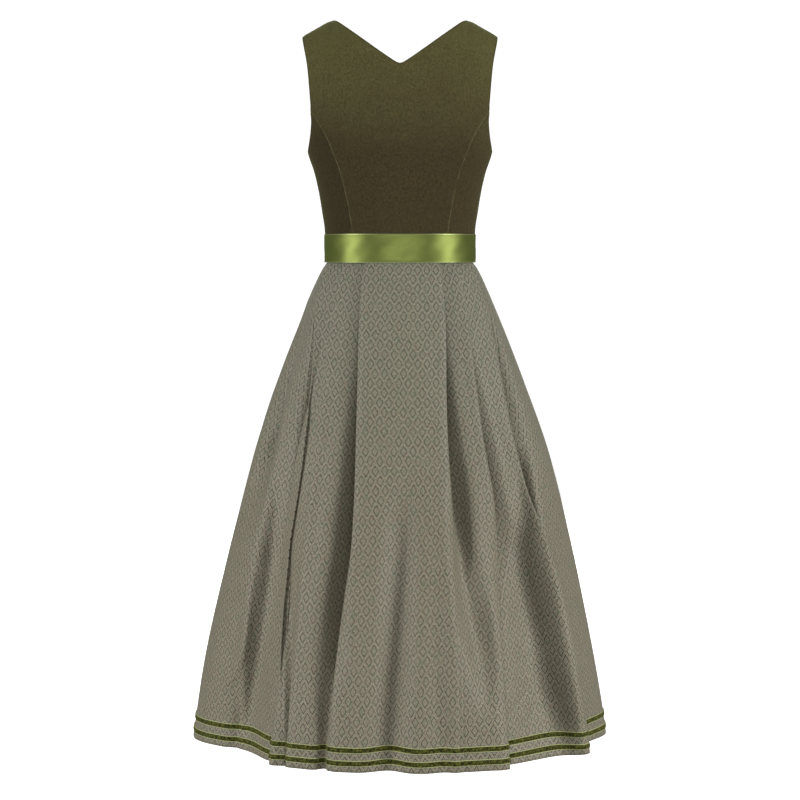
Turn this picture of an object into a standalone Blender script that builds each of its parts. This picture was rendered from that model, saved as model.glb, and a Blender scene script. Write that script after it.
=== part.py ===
# A dirndl dress in its worn shape, hollow, with nothing in it: a fitted sleeveless bodice,
# a ribbon round the waist and a pleated skirt with two narrow velvet ribbons above its hem.
# Metres, +Z up. The dress faces +Y, so its back faces -Y and the wearer's right is +X.
# The origin is midway between the two neck points, where the shoulders carry the dress.
import math
from collections import namedtuple

import bpy
import numpy as np

CM = 0.01
SEAM_GAP = 0.0003

# Bodice
VELVET = 0.0016
SHOULDER_SEAM_Y = 0.8 * CM
SHOULDER_ROLL = 9.0 * CM
NECK_HALF_WIDTH = 10.9 * CM
BACK_NECK_DROP = 8.3 * CM
FRONT_NECK_DROP = 18.5 * CM
SHOULDER_TIP = 16.3 * CM
SHOULDER_DROP = 2.9 * CM
NECK_COLUMNS = 7
SHOULDER_COLUMNS = 3
SIDE_COLUMNS = 6
UPPER_ROWS = 5
TOP_CROWDING = 2.9
LOWER_ROWS = 5
ARMPIT_Z = -21.8 * CM
ARMHOLE_TURN_Z = -15.3 * CM
BACK_TURN_SAG = 3.0 * CM
FRONT_TURN_SAG = 8.5 * CM
BODICE_BOTTOM_Z = -38.0 * CM
BUST_X = 8.6 * CM
BUST_Z = -23.0 * CM
BUST_RISE = 1.5 * CM
BUST_REACH = 6.5 * CM

# Waist ribbon
WAIST_RIBBON_TOP_Z = -35.5 * CM
WAIST_RIBBON_BOTTOM_Z = -40.2 * CM
WAIST_RIBBON_THICKNESS = 0.0012
WAIST_RIBBON_COLUMNS = 80

# Skirt
JACQUARD = 0.0012
SKIRT_TOP_Z = BODICE_BOTTOM_Z - SEAM_GAP
HEM_Z = -119.7 * CM
PANEL_COLUMN = 3.6 * CM
SIDE_SEAMS = (math.pi / 2, 3 * math.pi / 2)
SKIRT_ROWS = (0, 0.0266, 0.045, 0.11, 0.21, 0.33, 0.46, 0.6, 0.73, 0.85)
HEM_BAND_START = 0.948

# Velvet ribbons above the hem: height of each lower edge over the hem
HEM_RIBBON_WIDTH = 0.95 * CM
HEM_RIBBON_THICKNESS = 0.0010
HEM_RIBBON_LIFTS = {"hem_ribbon_lower": 0.9 * CM, "hem_ribbon_upper": 2.95 * CM}

# Body sections in cm: height, half width of the oval, its depth behind and in front, and the
# half width left between the armholes at the back and at the front (0 below the armpit).
Section = namedtuple("Section", "z width back front back_armhole front_armhole")
SECTIONS = (
    Section(-40.5, 12.42, 9.7, 9.7, 0, 0),
    Section(-38.0, 12.42, 9.7, 9.7, 0, 0),
    Section(-35.5, 12.45, 9.8, 9.9, 0, 0),
    Section(-31.3, 13.0, 10.2, 10.8, 0, 0),
    Section(-28.3, 13.5, 10.5, 11.5, 0, 0),
    Section(-25.3, 14.2, 10.8, 12.1, 0, 0),
    Section(-21.8, 15.3, 11.0, 12.3, 15.3, 15.3),
    Section(-17.3, 15.8, 11.1, 11.8, 14.5, 13.9),
    Section(-13.3, 16.2, 11.0, 10.9, 14.75, 13.4),
    Section(-8.3, 16.8, 10.4, 9.6, 15.2, 14.0),
    Section(-2.9, 17.9, 9.2, 8.4, 16.2, 16.2),
    Section(0.5, 18.5, 8.4, 7.8, 16.6, 16.6),
)

# Princess seams: height in cm and angle from the middle of the back or front, in degrees.
SeamPoint = namedtuple("SeamPoint", "z back front")
PRINCESS_SEAM = (
    SeamPoint(-40.0, 38.5, 30.0),
    SeamPoint(-35.5, 39.0, 31.0),
    SeamPoint(-26.3, 43.0, 37.0),
    SeamPoint(-21.8, 46.5, 41.0),
    SeamPoint(-18.8, 53.0, 48.5),
    SeamPoint(-16.3, 62.0, 55.0),
    SeamPoint(-15.3, 66.5, 58.0),
)

# The skirt's plain oval in cm: height, half width and half depth. It is straight under the
# waist ribbon and flares from the ribbon's lower edge.
Oval = namedtuple("Oval", "z width depth")
OVALS = (
    Oval(-38.0, 12.42, 9.7),
    Oval(-40.2, 12.42, 9.7),
    Oval(-41.6, 13.45, 10.6),
    Oval(-46.6, 15.5, 12.4),
    Oval(-56.6, 19.4, 15.6),
    Oval(-66.7, 22.95, 18.4),
    Oval(-76.8, 25.9, 20.9),
    Oval(-93.0, 30.3, 24.5),
    Oval(-106.0, 32.9, 26.8),
    Oval(-120.0, 35.0, 28.4),
)

# Sizes of the folds are given at even steps from the waist (first) to the ribbons (last).
FOLD_ROLL = (0.22, 0.4, 0.55, 0.65)

# Pleats. The panel nearer the middle of the back or front lies on top and folds under at an
# edge; the cloth runs back by its lap, turns and comes out again beyond the edge.
# opens: +1 or -1, the way round in which it comes out; angle: of the edge, 0 at the back and
# 90 on the wearer's right; lap, width, depth, out and sink in cm: how far the cloth goes back
# under, how wide the valley is, how deep it is, and where the upper and lower panels stand.
Pleat = namedtuple("Pleat", "opens angle lap width depth out sink")
PLEATS = {
    "back_left_outer": Pleat(-1, (-72, -50.1, -41.8, -40.2, -37.8, -36.8),
                             (3.2, 1.4, 1.0, 0.5, 0.6, 0.9), (0.5, 1.2, 1.8, 0.8, 0.9, 0.7),
                             (0.95, 1.3, 2.0, 1.2, 1.8, 4.9), (0, 0, 0, -0.1, -0.2, -0.4),
                             (-0.45, -0.5, -0.8, -0.8, -1.6, -4.0)),
    "back_left_middle": Pleat(-1, (-50, -38.4, -33.2, -32.0, -31.4, -31.5),
                              (3.2, 1.5, 0.8, 0.5, 0.4, 0.5), (0.5, 0.8, 1.0, 2.2, 1.6, 0.7),
                              (0.95, 0.8, 1.0, 2.1, 1.9, 1.5), (0, 0, -0.1, -0.2, -0.3, -0.3),
                              (-0.45, -0.4, -0.4, -0.6, -0.7, -0.7)),
    "back_left_inner": Pleat(-1, (-28, -21.7, -17.5, -15.8, -16.8, -18.4),
                             (4.4, 2.6, 1.6, 1.0, 0.6, 0.4), (0.5, 0.9, 2.4, 4.0, 3.0, 1.0),
                             (0.7, 1.8, 3.4, 4.3, 3.2, 1.7), (0, 0, 0, 0, 0, 0),
                             (-0.45, -0.45, -0.5, -0.6, -0.5, -0.3)),
    "back_right_inner": Pleat(1, (32, 24.2, 19.3, 17.7, 16.4, 15.5),
                              (4.6, 2.4, 0.6, -1.0, -1.6, -1.6), (0.5, 1.4, 2.6, 3.4, 3.6, 3.6),
                              (0.7, 2.5, 3.5, 3.3, 1.3, 0.6), (0, 0, 0, 0.1, 0.2, 0.2),
                              (-0.45, -0.5, -0.6, -0.6, -0.1, 0)),
    "back_right_middle": Pleat(1, (47.7, 39.3, 34.6, 32.6, 30.5, 29.2),
                               (1.9, 1.0, 0.7, 0.5, 0.5, 0.8), (0.5, 0.7, 1.2, 1.3, 0.8, 0.8),
                               (0.95, 1.2, 1.9, 2.0, 1.2, 2.9), (0, 0, 0, 0, 0.2, 0.8),
                               (-0.45, -0.3, -0.3, -0.3, -0.5, -1.9)),
    "back_right_outer": Pleat(1, (71, 58.7, 54.0, 58.1, 61.0, 61.4),
                              (3.4, 1.6, 1.2, 0.8, 0.8, 1.2), (0.5, 1.2, 1.4, 1.0, 0.9, 0.7),
                              (0.95, 1.6, 2.2, 2.4, 3.4, 5.0), (0, 0, 0, 0.2, 0.4, 0.5),
                              (-0.45, -0.5, -0.9, -2.0, -3.2, -4.0)),
    "front_right_outer": Pleat(-1, (109, 127, 124, 126), (3.2, 1.3, 0.7, 0.9),
                               (0.5, 1.3, 1.3, 0.7), (0.95, 1.7, 2.8, 4.4),
                               (0, 0, 0, 0.2), (-0.45, -0.5, -1.9, -3.4)),
    "front_right_middle": Pleat(-1, (130, 145, 146, 148), (2.8, 1.0, 0.6, 0.5),
                                (0.5, 1.4, 1.6, 0.9), (0.95, 1.5, 1.6, 1.6),
                                (0, 0, -0.1, -0.3), (-0.45, -0.4, -0.5, -0.7)),
    "front_right_inner": Pleat(-1, (150, 160.5, 159, 157), (4.4, 2.1, 0.9, 0.5),
                               (0.5, 2.4, 3.0, 1.2), (0.7, 2.9, 3.3, 1.8),
                               (0, 0, 0.1, 0.4), (-0.45, -0.4, -0.8, -0.8)),
    "front_left_inner": Pleat(1, (209, 199, 201.5, 202), (4.4, 2.2, 0.9, 0.6),
                              (0.5, 2.5, 2.8, 1.0), (0.7, 2.8, 3.4, 2.0),
                              (0, 0, 0.1, 0.3), (-0.45, -0.5, -0.8, -0.9)),
    "front_left_middle": Pleat(1, (230, 214.5, 214, 212), (2.8, 1.0, 0.6, 0.5),
                               (0.5, 1.3, 1.6, 1.0), (0.95, 1.4, 1.5, 1.6),
                               (0, 0, -0.2, -0.3), (-0.45, -0.4, -0.5, -0.6)),
    "front_left_outer": Pleat(1, (251, 233, 237, 236), (3.2, 1.3, 0.7, 0.9),
                              (0.5, 1.3, 1.2, 0.7), (0.95, 1.7, 2.6, 4.2),
                              (0, 0, 0, 0.1), (-0.45, -0.5, -1.7, -3.2)),
}

# A panel between two pleats: its columns, its side seam's angle and the columns before that.
Panel = namedtuple("Panel", "columns seam before")

# Soft valleys and crests between the pleats: angle, rise in cm and half reach in cm.
Swell = namedtuple("Swell", "angle rise reach")
SWELLS = {
    "back_middle_valley": Swell((2, 1.5, 0, -3.5), (0, -0.1, -0.9, -0.6), 2.2),
    "back_middle_crest": Swell((14, 15, 17, 14.5), (0, 0, 0.4, 0.5), 2.4),
    "back_left_valley": Swell((-60, -55, -48.8, -48.5), (0, -0.4, -2.0, -1.4), 3.0),
    "left_side_crest": Swell((-90, -84, -82, -90), (0, 0.5, 1.6, 3.2), 10.0),
    "back_right_valley": Swell((50, 43, 47.5, 50.5), (0, -0.3, -2.8, -2.6), 3.2),
    "right_side_crest": Swell((90, 86, 88, 94), (0, 0.5, 1.8, 3.8), 9.0),
    "front_right_valley": Swell((120, 137, 135, 137), (0, -0.4, -1.7, -1.9), 3.0),
    "front_middle_valley": Swell((181, 180, 179, 181), (0, -0.2, -0.8, -0.9), 3.0),
    "front_left_valley": Swell((240, 224, 225, 224), (0, -0.4, -1.6, -1.8), 3.0),
}

COLOURS = {
    "velvet_bodice": ((0.060, 0.052, 0.022, 1), 0.85),
    "jacquard": ((0.21, 0.21, 0.15, 1), 0.6),
    "satin": ((0.19, 0.26, 0.06, 1), 0.3),
    "velvet_ribbon": ((0.035, 0.055, 0.008, 1), 0.9),
}


def through(knots, values, place):
    """A smooth curve through the knots that never swings past them."""
    order = np.argsort(knots)
    knots = np.asarray(knots, float)[order]
    values = np.asarray(values, float)[order]
    steps = np.diff(knots)
    slopes = np.diff(values) / steps
    inner = np.where(slopes[1:] * slopes[:-1] > 0,
                     2 * slopes[1:] * slopes[:-1] / (slopes[1:] + slopes[:-1] + 1e-12), 0)
    tangents = np.concatenate([[slopes[0]], inner, [slopes[-1]]])
    place = np.clip(place, knots[0], knots[-1])
    i = np.clip(np.searchsorted(knots, place, "right") - 1, 0, len(steps) - 1)
    t = (place - knots[i]) / steps[i]
    return ((2 * t ** 3 - 3 * t ** 2 + 1) * values[i]
            + (t ** 3 - 2 * t ** 2 + t) * steps[i] * tangents[i]
            + (3 * t ** 2 - 2 * t ** 3) * values[i + 1]
            + (t ** 3 - t ** 2) * steps[i] * tangents[i + 1])


def station(values, shape):
    """A fold's size between the waist (shape 0) and the ribbons (shape 1)."""
    return through(np.linspace(0, 1, len(values)), values, shape)


def smooth(t):
    return t * t * (3 - 2 * t)


def material(name):
    found = bpy.data.materials.get(name)
    if found:
        return found
    colour, roughness = COLOURS[name]
    made = bpy.data.materials.new(name)
    made.use_nodes = True
    shader = made.node_tree.nodes["Principled BSDF"]
    shader.inputs["Base Color"].default_value = colour
    shader.inputs["Roughness"].default_value = roughness
    shader.inputs["Metallic"].default_value = 0.0
    return made


def cloth(name, grid, thickness, offset, finish, collection, closed=False):
    """A wall of cloth over a grid of points, rows from top to bottom, columns turning from the
    back towards +X, so its faces point outwards. offset -1, 0 or 1: the wall inside, on both
    sides or outside of the points."""
    rows, columns = len(grid), len(grid[0])
    points = [tuple(point) for row in grid for point in row]
    spans = columns if closed else columns - 1
    faces = []
    for row in range(rows - 1):
        for column in range(spans):
            beside = (column + 1) % columns
            faces.append(((row + 1) * columns + column, (row + 1) * columns + beside,
                          row * columns + beside, row * columns + column))
    mesh = bpy.data.meshes.new(name)
    mesh.from_pydata(points, [], faces)
    mesh.shade_smooth()
    mesh.materials.append(material(finish))
    piece = bpy.data.objects.new(name, mesh)
    collection.objects.link(piece)
    wall = piece.modifiers.new("wall", "SOLIDIFY")
    wall.thickness = thickness
    wall.offset = offset
    wall.use_even_offset = False
    return piece


# ---- Skirt

def oval(angle, down):
    """Point, outward direction and length per radian on the skirt's plain oval, in cm."""
    z = (SKIRT_TOP_Z + (HEM_Z - SKIRT_TOP_Z) * down) / CM
    heights = [row.z for row in OVALS]
    width = through(heights, [row.width for row in OVALS], z)
    depth = through(heights, [row.depth for row in OVALS], z)
    point = np.array([width * math.sin(angle), -depth * math.cos(angle)])
    outward = np.array([math.sin(angle) / width, -math.cos(angle) / depth])
    outward /= np.linalg.norm(outward)
    stride = math.hypot(width * math.cos(angle), depth * math.sin(angle))
    return point, outward, stride


def pleat_profile(pleat, shape):
    """The pleat's cross-section, from its upper panel outwards: distance beyond the edge and
    height over the oval, in cm. Where the lap is below 0 it is an open valley."""
    lap, width, depth, out, sink = (station(values, shape) for values in pleat[2:])
    roll = min(station(FOLD_ROLL, shape), depth / 2.6)
    floor = out - depth
    swing = max(-1.0, min(lap / roll, 1.0))
    near = -0.3 * roll * swing
    far = -lap - near
    profile = [(-roll, out), (0, out - 0.5 * roll)]
    for share in (0, 1 / 3, 2 / 3, 1):
        profile.append((near + (far - near) * share,
                        out - roll + (floor + 2 * roll - out) * share))
    profile.append((far - 0.5 * roll * swing, floor + 0.5 * roll))
    start = far + 0.5 * roll * (1 - swing)
    for share in (0, 0.3, 0.6, 0.85, 1):
        profile.append((start + (width - start) * share, floor + (sink - floor) * smooth(share)))
    return profile


def swell_rise(angle, shape):
    """Height of all the soft valleys and crests at one place, in cm."""
    stride = oval(angle, shape)[2]
    rise = 0.0
    for swell in SWELLS.values():
        away = angle - math.radians(station(swell.angle, shape))
        away = (away + math.pi) % (2 * math.pi) - math.pi
        rise += station(swell.rise, shape) * math.exp(-(away * stride / swell.reach) ** 2)
    return rise


def pleat_corners(pleat, shape):
    """The pleat's points in the order of rising angle: angle and height."""
    edge = math.radians(station(pleat.angle, shape))
    stride = oval(edge, shape)[2]
    corners = [(edge + pleat.opens * along / stride, height)
               for along, height in pleat_profile(pleat, shape)]
    return corners if pleat.opens > 0 else corners[::-1]


def round_the_skirt():
    """The pleats in order round the skirt, from the left side seam by the back."""
    return sorted(PLEATS.values(), key=lambda pleat: pleat.angle[-1])


def panels(shape):
    """Each pleat with the panel that follows it: the pleat, and the panel's two ends as pairs of
    angle and height."""
    pleats = round_the_skirt()
    firsts = [pleat_corners(pleat, shape)[0] for pleat in pleats]
    once_round = (firsts[0][0] + 2 * math.pi, firsts[0][1])
    for pleat, end in zip(pleats, firsts[1:] + [once_round]):
        yield pleat, pleat_corners(pleat, shape)[-1], end


def plan_panels():
    """How many columns each panel has at every height, and which of them is a side seam."""
    plan = []
    for _, (start, _), (end, _) in panels(1.0):
        stride = oval((start + end) / 2, 1.0)[2] * CM
        columns = max(2, round((end - start) * stride / PANEL_COLUMN))
        seams = [angle for angle in SIDE_SEAMS if start < angle < end]
        seam = seams[0] if seams else None
        before = max(1, round(columns * (seam - start) / (end - start))) if seams else 0
        plan.append(Panel(columns, seam, before))
    return plan


def panel_angles(start, end, panel):
    """Angles of the columns inside a panel; a side panel has one on its side seam."""
    if panel.seam is None:
        return [start + (end - start) * i / panel.columns for i in range(1, panel.columns)]
    after = panel.columns - panel.before
    return ([start + (panel.seam - start) * i / panel.before for i in range(1, panel.before + 1)]
            + [panel.seam + (end - panel.seam) * i / after for i in range(1, after)])


def skirt_section(shape, plan):
    """One closed ring of the skirt as pairs of angle and height, from the first pleat round."""
    ring = []
    for (pleat, start, end), panel in zip(panels(shape), plan):
        ring += pleat_corners(pleat, shape)
        for angle in panel_angles(start[0], end[0], panel):
            share = (angle - start[0]) / (end[0] - start[0])
            ring.append((angle, start[1] + (end[1] - start[1]) * smooth(share)))
    return ring


def skirt_ring(down, plan):
    """The skirt's points at one height. From the ribbons down its folds keep their shape."""
    shape = min(down / HEM_BAND_START, 1.0)
    ring = []
    for angle, height in skirt_section(shape, plan):
        point, outward, _ = oval(angle, down)
        point = (point + outward * (height + swell_rise(angle, shape))) * CM
        ring.append((point[0], point[1], SKIRT_TOP_Z + (HEM_Z - SKIRT_TOP_Z) * down))
    return np.array(ring)


def seam_indices(plan):
    """Where the right and the left side seam fall in a ring's order."""
    corners = len(pleat_profile(round_the_skirt()[0], 0))
    found, index = [], 0
    for panel in plan:
        index += corners
        if panel.seam is not None:
            found.append(index + panel.before - 1)
        index += panel.columns - 1
    return found


def parted(row, first, last):
    """A stretch of a ring whose two ends stop half a seam gap short."""
    size = len(row)
    stretch = [row[i % size] for i in range(first, last + 1)]
    for end, neighbour in ((0, 1), (-1, -2)):
        step = stretch[neighbour] - stretch[end]
        stretch[end] = stretch[end] + step / np.linalg.norm(step) * SEAM_GAP / 2
    return stretch


def ring_normals(rings):
    """Outward directions of a closed band of rings."""
    grid = np.array(rings)
    ahead = np.roll(grid, -1, axis=1) - grid
    ahead /= np.linalg.norm(ahead, axis=2, keepdims=True)
    along = ahead + np.roll(ahead, 1, axis=1)
    down = np.gradient(grid, axis=0)
    normal = np.cross(along, -down)
    return normal / np.linalg.norm(normal, axis=2, keepdims=True)


def make_skirt(collection):
    """The back and front panels; gives the two rings between which the hem ribbons lie."""
    plan = plan_panels()
    rings = [skirt_ring(down, plan) for down in SKIRT_ROWS + (HEM_BAND_START, 1.0)]
    right, left = seam_indices(plan)
    size = len(rings[0])
    front = [parted(ring, right, left) for ring in rings]
    back = [parted(ring, left, right + size) for ring in rings]
    cloth("skirt_front", front, JACQUARD, 0, "jacquard", collection)
    cloth("skirt_back", back, JACQUARD, 0, "jacquard", collection)
    return np.array(rings[-2:])


def make_hem_ribbons(band, collection):
    """Velvet ribbons on the skirt's lowest stretch, made from its points, moved out."""
    upper, lower = band
    normals = ring_normals(band)
    height = upper[0][2] - lower[0][2]
    away = JACQUARD / 2 + SEAM_GAP
    for name, lift in HEM_RIBBON_LIFTS.items():
        rows = []
        for level in (lift + HEM_RIBBON_WIDTH, lift):
            share = level / height
            points = upper * share + lower * (1 - share)
            outward = normals[0] * share + normals[1] * (1 - share)
            rows.append(points + outward * away)
        cloth(name, rows, HEM_RIBBON_THICKNESS, 1, "velvet_ribbon", collection, closed=True)


# ---- Bodice

def section_size(name, z):
    return through([s.z for s in SECTIONS], [getattr(s, name) for s in SECTIONS], z / CM) * CM


def shoulder_line(x):
    """Height of the shoulder over a place across the dress."""
    slope = SHOULDER_DROP / (SHOULDER_TIP - NECK_HALF_WIDTH)
    return -(abs(x) - NECK_HALF_WIDTH) * slope


def body_point(angle, z, side):
    """A point of the bodice: side -1 the back, +1 the front; angle from its middle."""
    x = section_size("width", z) * math.sin(angle)
    depth = section_size("back" if side < 0 else "front", z)
    y = side * depth * abs(math.cos(angle))
    if side > 0:
        bust = math.hypot(abs(x) - BUST_X, (z - BUST_Z) * 0.9)
        y += BUST_RISE * math.exp(-(bust / BUST_REACH) ** 2) * min(1.0, 2 * abs(math.cos(angle)))
    below = max(shoulder_line(x) - z, 0.0) / SHOULDER_ROLL
    if below < 1:
        y = SHOULDER_SEAM_Y + (y - SHOULDER_SEAM_Y) * math.sqrt(1 - (1 - below) ** 2)
    return np.array([x, y, z])


def princess_angle(z, side):
    name = "back" if side < 0 else "front"
    values = [getattr(point, name) for point in PRINCESS_SEAM]
    return math.radians(through([point.z for point in PRINCESS_SEAM], values, z / CM))


def middle_edge(z, side):
    """Angle of the middle panel's outer edge: princess seam below, armhole above."""
    if z <= ARMHOLE_TURN_Z:
        return princess_angle(z, side)
    arm = section_size("back_armhole" if side < 0 else "front_armhole", z)
    return math.asin(min(arm / section_size("width", z), 1.0))


def middle_top(x, side):
    """Height of the neckline or the shoulder seam over a place across the panel."""
    drop = BACK_NECK_DROP if side < 0 else FRONT_NECK_DROP
    if abs(x) >= NECK_HALF_WIDTH:
        return shoulder_line(x)
    return -drop * (1 - abs(x) / NECK_HALF_WIDTH)


def middle_column(share, side):
    """Points down the middle panel at a share of its half width, top first. The row that meets
    the armhole's turn sags towards the middle, and those below it match the side panel's."""
    top = 0.0
    for _ in range(40):
        angle = middle_edge(top, side) * share
        reach = section_size("width", top) * math.sin(angle)
        top = 0.5 * top + 0.5 * middle_top(reach, side)
    sag = BACK_TURN_SAG if side < 0 else FRONT_TURN_SAG
    turn = ARMHOLE_TURN_Z - sag * (1 - share)
    levels = [top + (turn - top) * (row / UPPER_ROWS) ** TOP_CROWDING for row in range(UPPER_ROWS)]
    levels += lower_levels(turn)
    return [body_point(middle_edge(z, side) * share, z, side) for z in levels]


def lower_levels(top):
    """Heights of the rows from a panel's top, or its turn, down to the waist. The last but one
    is at the waist ribbon's top edge."""
    span = WAIST_RIBBON_TOP_Z - top
    return [top + span * row / LOWER_ROWS for row in range(LOWER_ROWS + 1)] + [BODICE_BOTTOM_Z]


def armhole_angle(z, side):
    """Angle of the armhole's lower curve, from the princess seam's end to the armpit."""
    start = princess_angle(ARMHOLE_TURN_Z, side)
    fall = min((ARMHOLE_TURN_Z - z) / (ARMHOLE_TURN_Z - ARMPIT_Z), 1.0)
    return start + (math.pi / 2 - start) * (1 - math.sqrt(1 - fall ** 2))


def side_angle(share, z, side):
    inner = princess_angle(z, side)
    return inner + (math.pi / 2 - inner) * share


def side_column(share, side):
    """Points down a side panel, from its princess seam (share 0) to the side seam (share 1)."""
    low, high = ARMPIT_Z, ARMHOLE_TURN_Z
    for _ in range(40):
        top = (low + high) / 2
        if side_angle(share, top, side) > armhole_angle(top, side):
            high = top
        else:
            low = top
    return [body_point(side_angle(share, z, side), z, side) for z in lower_levels(top)]


def drawn_apart(columns, first, last):
    """The columns as rows of points, with the marked sides half a seam gap short."""
    grid = np.array(columns).transpose(1, 0, 2)
    for wanted, end, neighbour in ((first, 0, 1), (last, -1, -2)):
        if wanted:
            step = grid[:, neighbour] - grid[:, end]
            grid[:, end] += step / np.linalg.norm(step, axis=1, keepdims=True) * SEAM_GAP / 2
    return grid


def mirrored(grid):
    """The same panel on the other side of the dress, its columns still turning to +X."""
    return (grid * np.array([-1, 1, 1]))[:, ::-1]


def facing(grid, side):
    """Columns in the order that turns from the back towards +X and on to the front."""
    return grid[:, ::-1] if side > 0 else grid


def neck_shares():
    """Shares across half a middle panel, one of them on the neck point."""
    neck = NECK_HALF_WIDTH / SHOULDER_TIP
    inner = [neck * i / NECK_COLUMNS for i in range(NECK_COLUMNS)]
    return inner + [neck + (1 - neck) * i / SHOULDER_COLUMNS for i in range(SHOULDER_COLUMNS + 1)]


def lowered_top(grid):
    """The shoulder seam's row, where front and back meet, half a seam gap short."""
    grid = grid.copy()
    on_shoulder = np.abs(grid[0, :, 0]) >= NECK_HALF_WIDTH - 0.5 * CM
    step = grid[1] - grid[0]
    step /= np.linalg.norm(step, axis=1, keepdims=True)
    grid[0, on_shoulder] += step[on_shoulder] * SEAM_GAP / 2
    return grid


def make_bodice(collection):
    shares = neck_shares()
    right = drawn_apart([middle_column(share, -1) for share in shares], False, True)
    back = lowered_top(np.concatenate([mirrored(right)[:, :-1], right], axis=1))
    cloth("bodice_back", back, VELVET, 0, "velvet_bodice", collection)

    front = lowered_top(drawn_apart([middle_column(s, 1) for s in shares], True, True))
    cloth("bodice_front_right", facing(front, 1), VELVET, 0, "velvet_bodice", collection)
    cloth("bodice_front_left", facing(mirrored(front), 1), VELVET, 0, "velvet_bodice", collection)

    side_shares = [i / SIDE_COLUMNS for i in range(SIDE_COLUMNS + 1)]
    for side, name in ((-1, "bodice_side_back"), (1, "bodice_side_front")):
        panel = drawn_apart([side_column(share, side) for share in side_shares], True, True)
        cloth(name + "_right", facing(panel, side), VELVET, 0, "velvet_bodice", collection)
        cloth(name + "_left", facing(mirrored(panel), side), VELVET, 0, "velvet_bodice", collection)


# ---- Waist ribbon

def make_waist_ribbon(collection):
    """A satin band over the waist seam, made from the bodice's points, moved out."""
    away = VELVET / 2 + SEAM_GAP
    rows = []
    for z in (WAIST_RIBBON_TOP_Z, BODICE_BOTTOM_Z, WAIST_RIBBON_BOTTOM_Z):
        row = []
        for column in range(WAIST_RIBBON_COLUMNS):
            angle = 2 * math.pi * column / WAIST_RIBBON_COLUMNS
            point = body_point(angle, z, -1 if math.cos(angle) > 0 else 1)
            outward = np.array([math.sin(angle), -math.cos(angle), 0])
            row.append(point + outward * away)
        rows.append(row)
    cloth("waist_ribbon", rows, WAIST_RIBBON_THICKNESS, 1, "satin", collection, closed=True)


def clear_scene():
    for thing in list(bpy.data.objects):
        bpy.data.objects.remove(thing, do_unlink=True)


def make_dress():
    clear_scene()
    collection = bpy.data.collections.new("dirndl_dress")
    bpy.context.scene.collection.children.link(collection)
    make_bodice(collection)
    band = make_skirt(collection)
    make_hem_ribbons(band, collection)
    make_waist_ribbon(collection)


make_dress()
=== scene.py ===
import math
import bpy
import numpy as np
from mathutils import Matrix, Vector


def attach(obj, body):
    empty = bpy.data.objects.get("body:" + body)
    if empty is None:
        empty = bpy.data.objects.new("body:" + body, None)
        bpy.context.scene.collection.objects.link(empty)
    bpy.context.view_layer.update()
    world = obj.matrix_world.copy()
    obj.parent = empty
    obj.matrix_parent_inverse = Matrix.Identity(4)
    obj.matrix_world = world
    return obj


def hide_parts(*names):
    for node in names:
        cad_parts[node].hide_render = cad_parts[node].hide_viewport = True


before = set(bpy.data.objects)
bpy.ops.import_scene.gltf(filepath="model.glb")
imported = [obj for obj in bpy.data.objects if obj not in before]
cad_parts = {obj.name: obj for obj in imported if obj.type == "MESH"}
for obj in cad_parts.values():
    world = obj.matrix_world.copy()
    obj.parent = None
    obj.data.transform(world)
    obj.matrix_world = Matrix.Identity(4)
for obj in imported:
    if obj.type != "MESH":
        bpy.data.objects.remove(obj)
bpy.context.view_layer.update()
print("frame loaded")

cm = 0.01

view = {"distance": 3.60, "height": -0.382, "tilt": 3.97, "lens": 97.0, "sensor": 36,
        "farEnd": 60}
paper = {"z": -1.42, "radius": 7.5, "roll": 2.5, "wallTop": 6.5, "sides": 96, "rollSteps": 16,
         "rings": (0.6, 2.0), "colour": (0.88, 0.88, 0.87, 1), "roughness": 0.8, "glow": 0.60}
room = {"colour": (0.97, 0.98, 1.0, 1), "strength": 0.18}
suns = [  # broad soft lights from both sides: direction they come from, strength
    {"name": "leftKey", "from": (-0.90, -0.41, 0.32), "strength": 1.04, "softness": 20.0,
     "colour": (1.0, 0.995, 0.985)},
    {"name": "rightKey", "from": (0.91, -0.40, 0.32), "strength": 1.33, "softness": 20.0,
     "colour": (1.0, 0.995, 0.985)},
]
lamps = [  # soft boxes: where they stand, what they point at, size in metres, watts
    {"name": "frontFill", "at": (0.0, -4.2, -0.8), "to": (0, 0, -0.7), "size": (3.8, 1.0),
     "watts": 36, "colour": (1.0, 0.995, 0.98)},
    {"name": "frontMatt", "at": (0.0, -4.2, -1.0), "to": (0, 0, -0.9), "size": (2.0, 1.0),
     "watts": 13, "colour": (1.0, 0.995, 0.98), "noShine": True},
    {"name": "leftSoftBox", "at": (-2.0, -0.95, -0.90), "to": (0, 0, -0.80), "size": (0.8, 1.5),
     "watts": 17.5, "colour": (1.0, 0.99, 0.97)},
    {"name": "rightSoftBox", "at": (2.0, -0.95, -0.90), "to": (0, 0, -0.80), "size": (0.8, 1.5),
     "watts": 18.5, "colour": (1.0, 0.99, 0.97)},
    {"name": "behind", "at": (0.0, 4.6, 0.8), "to": (0, 0, -0.6), "size": (2.6, 2.2),
     "watts": 150, "colour": (0.99, 0.99, 1.0)},
]


def inScene(name, data):
    thing = bpy.data.objects.new(name, data)
    bpy.context.scene.collection.objects.link(thing)
    return thing


def makeCamera():
    data = bpy.data.cameras.new("camera")
    data.lens = view["lens"]
    data.sensor_width = view["sensor"]
    data.clip_end = view["farEnd"]
    eye = inScene("camera", data)
    eye.location = (0, -view["distance"], view["height"])
    eye.rotation_euler = (math.radians(90 - view["tilt"]), 0, 0)
    bpy.context.scene.camera = eye
    bpy.context.scene.view_settings.view_transform = "Standard"


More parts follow.
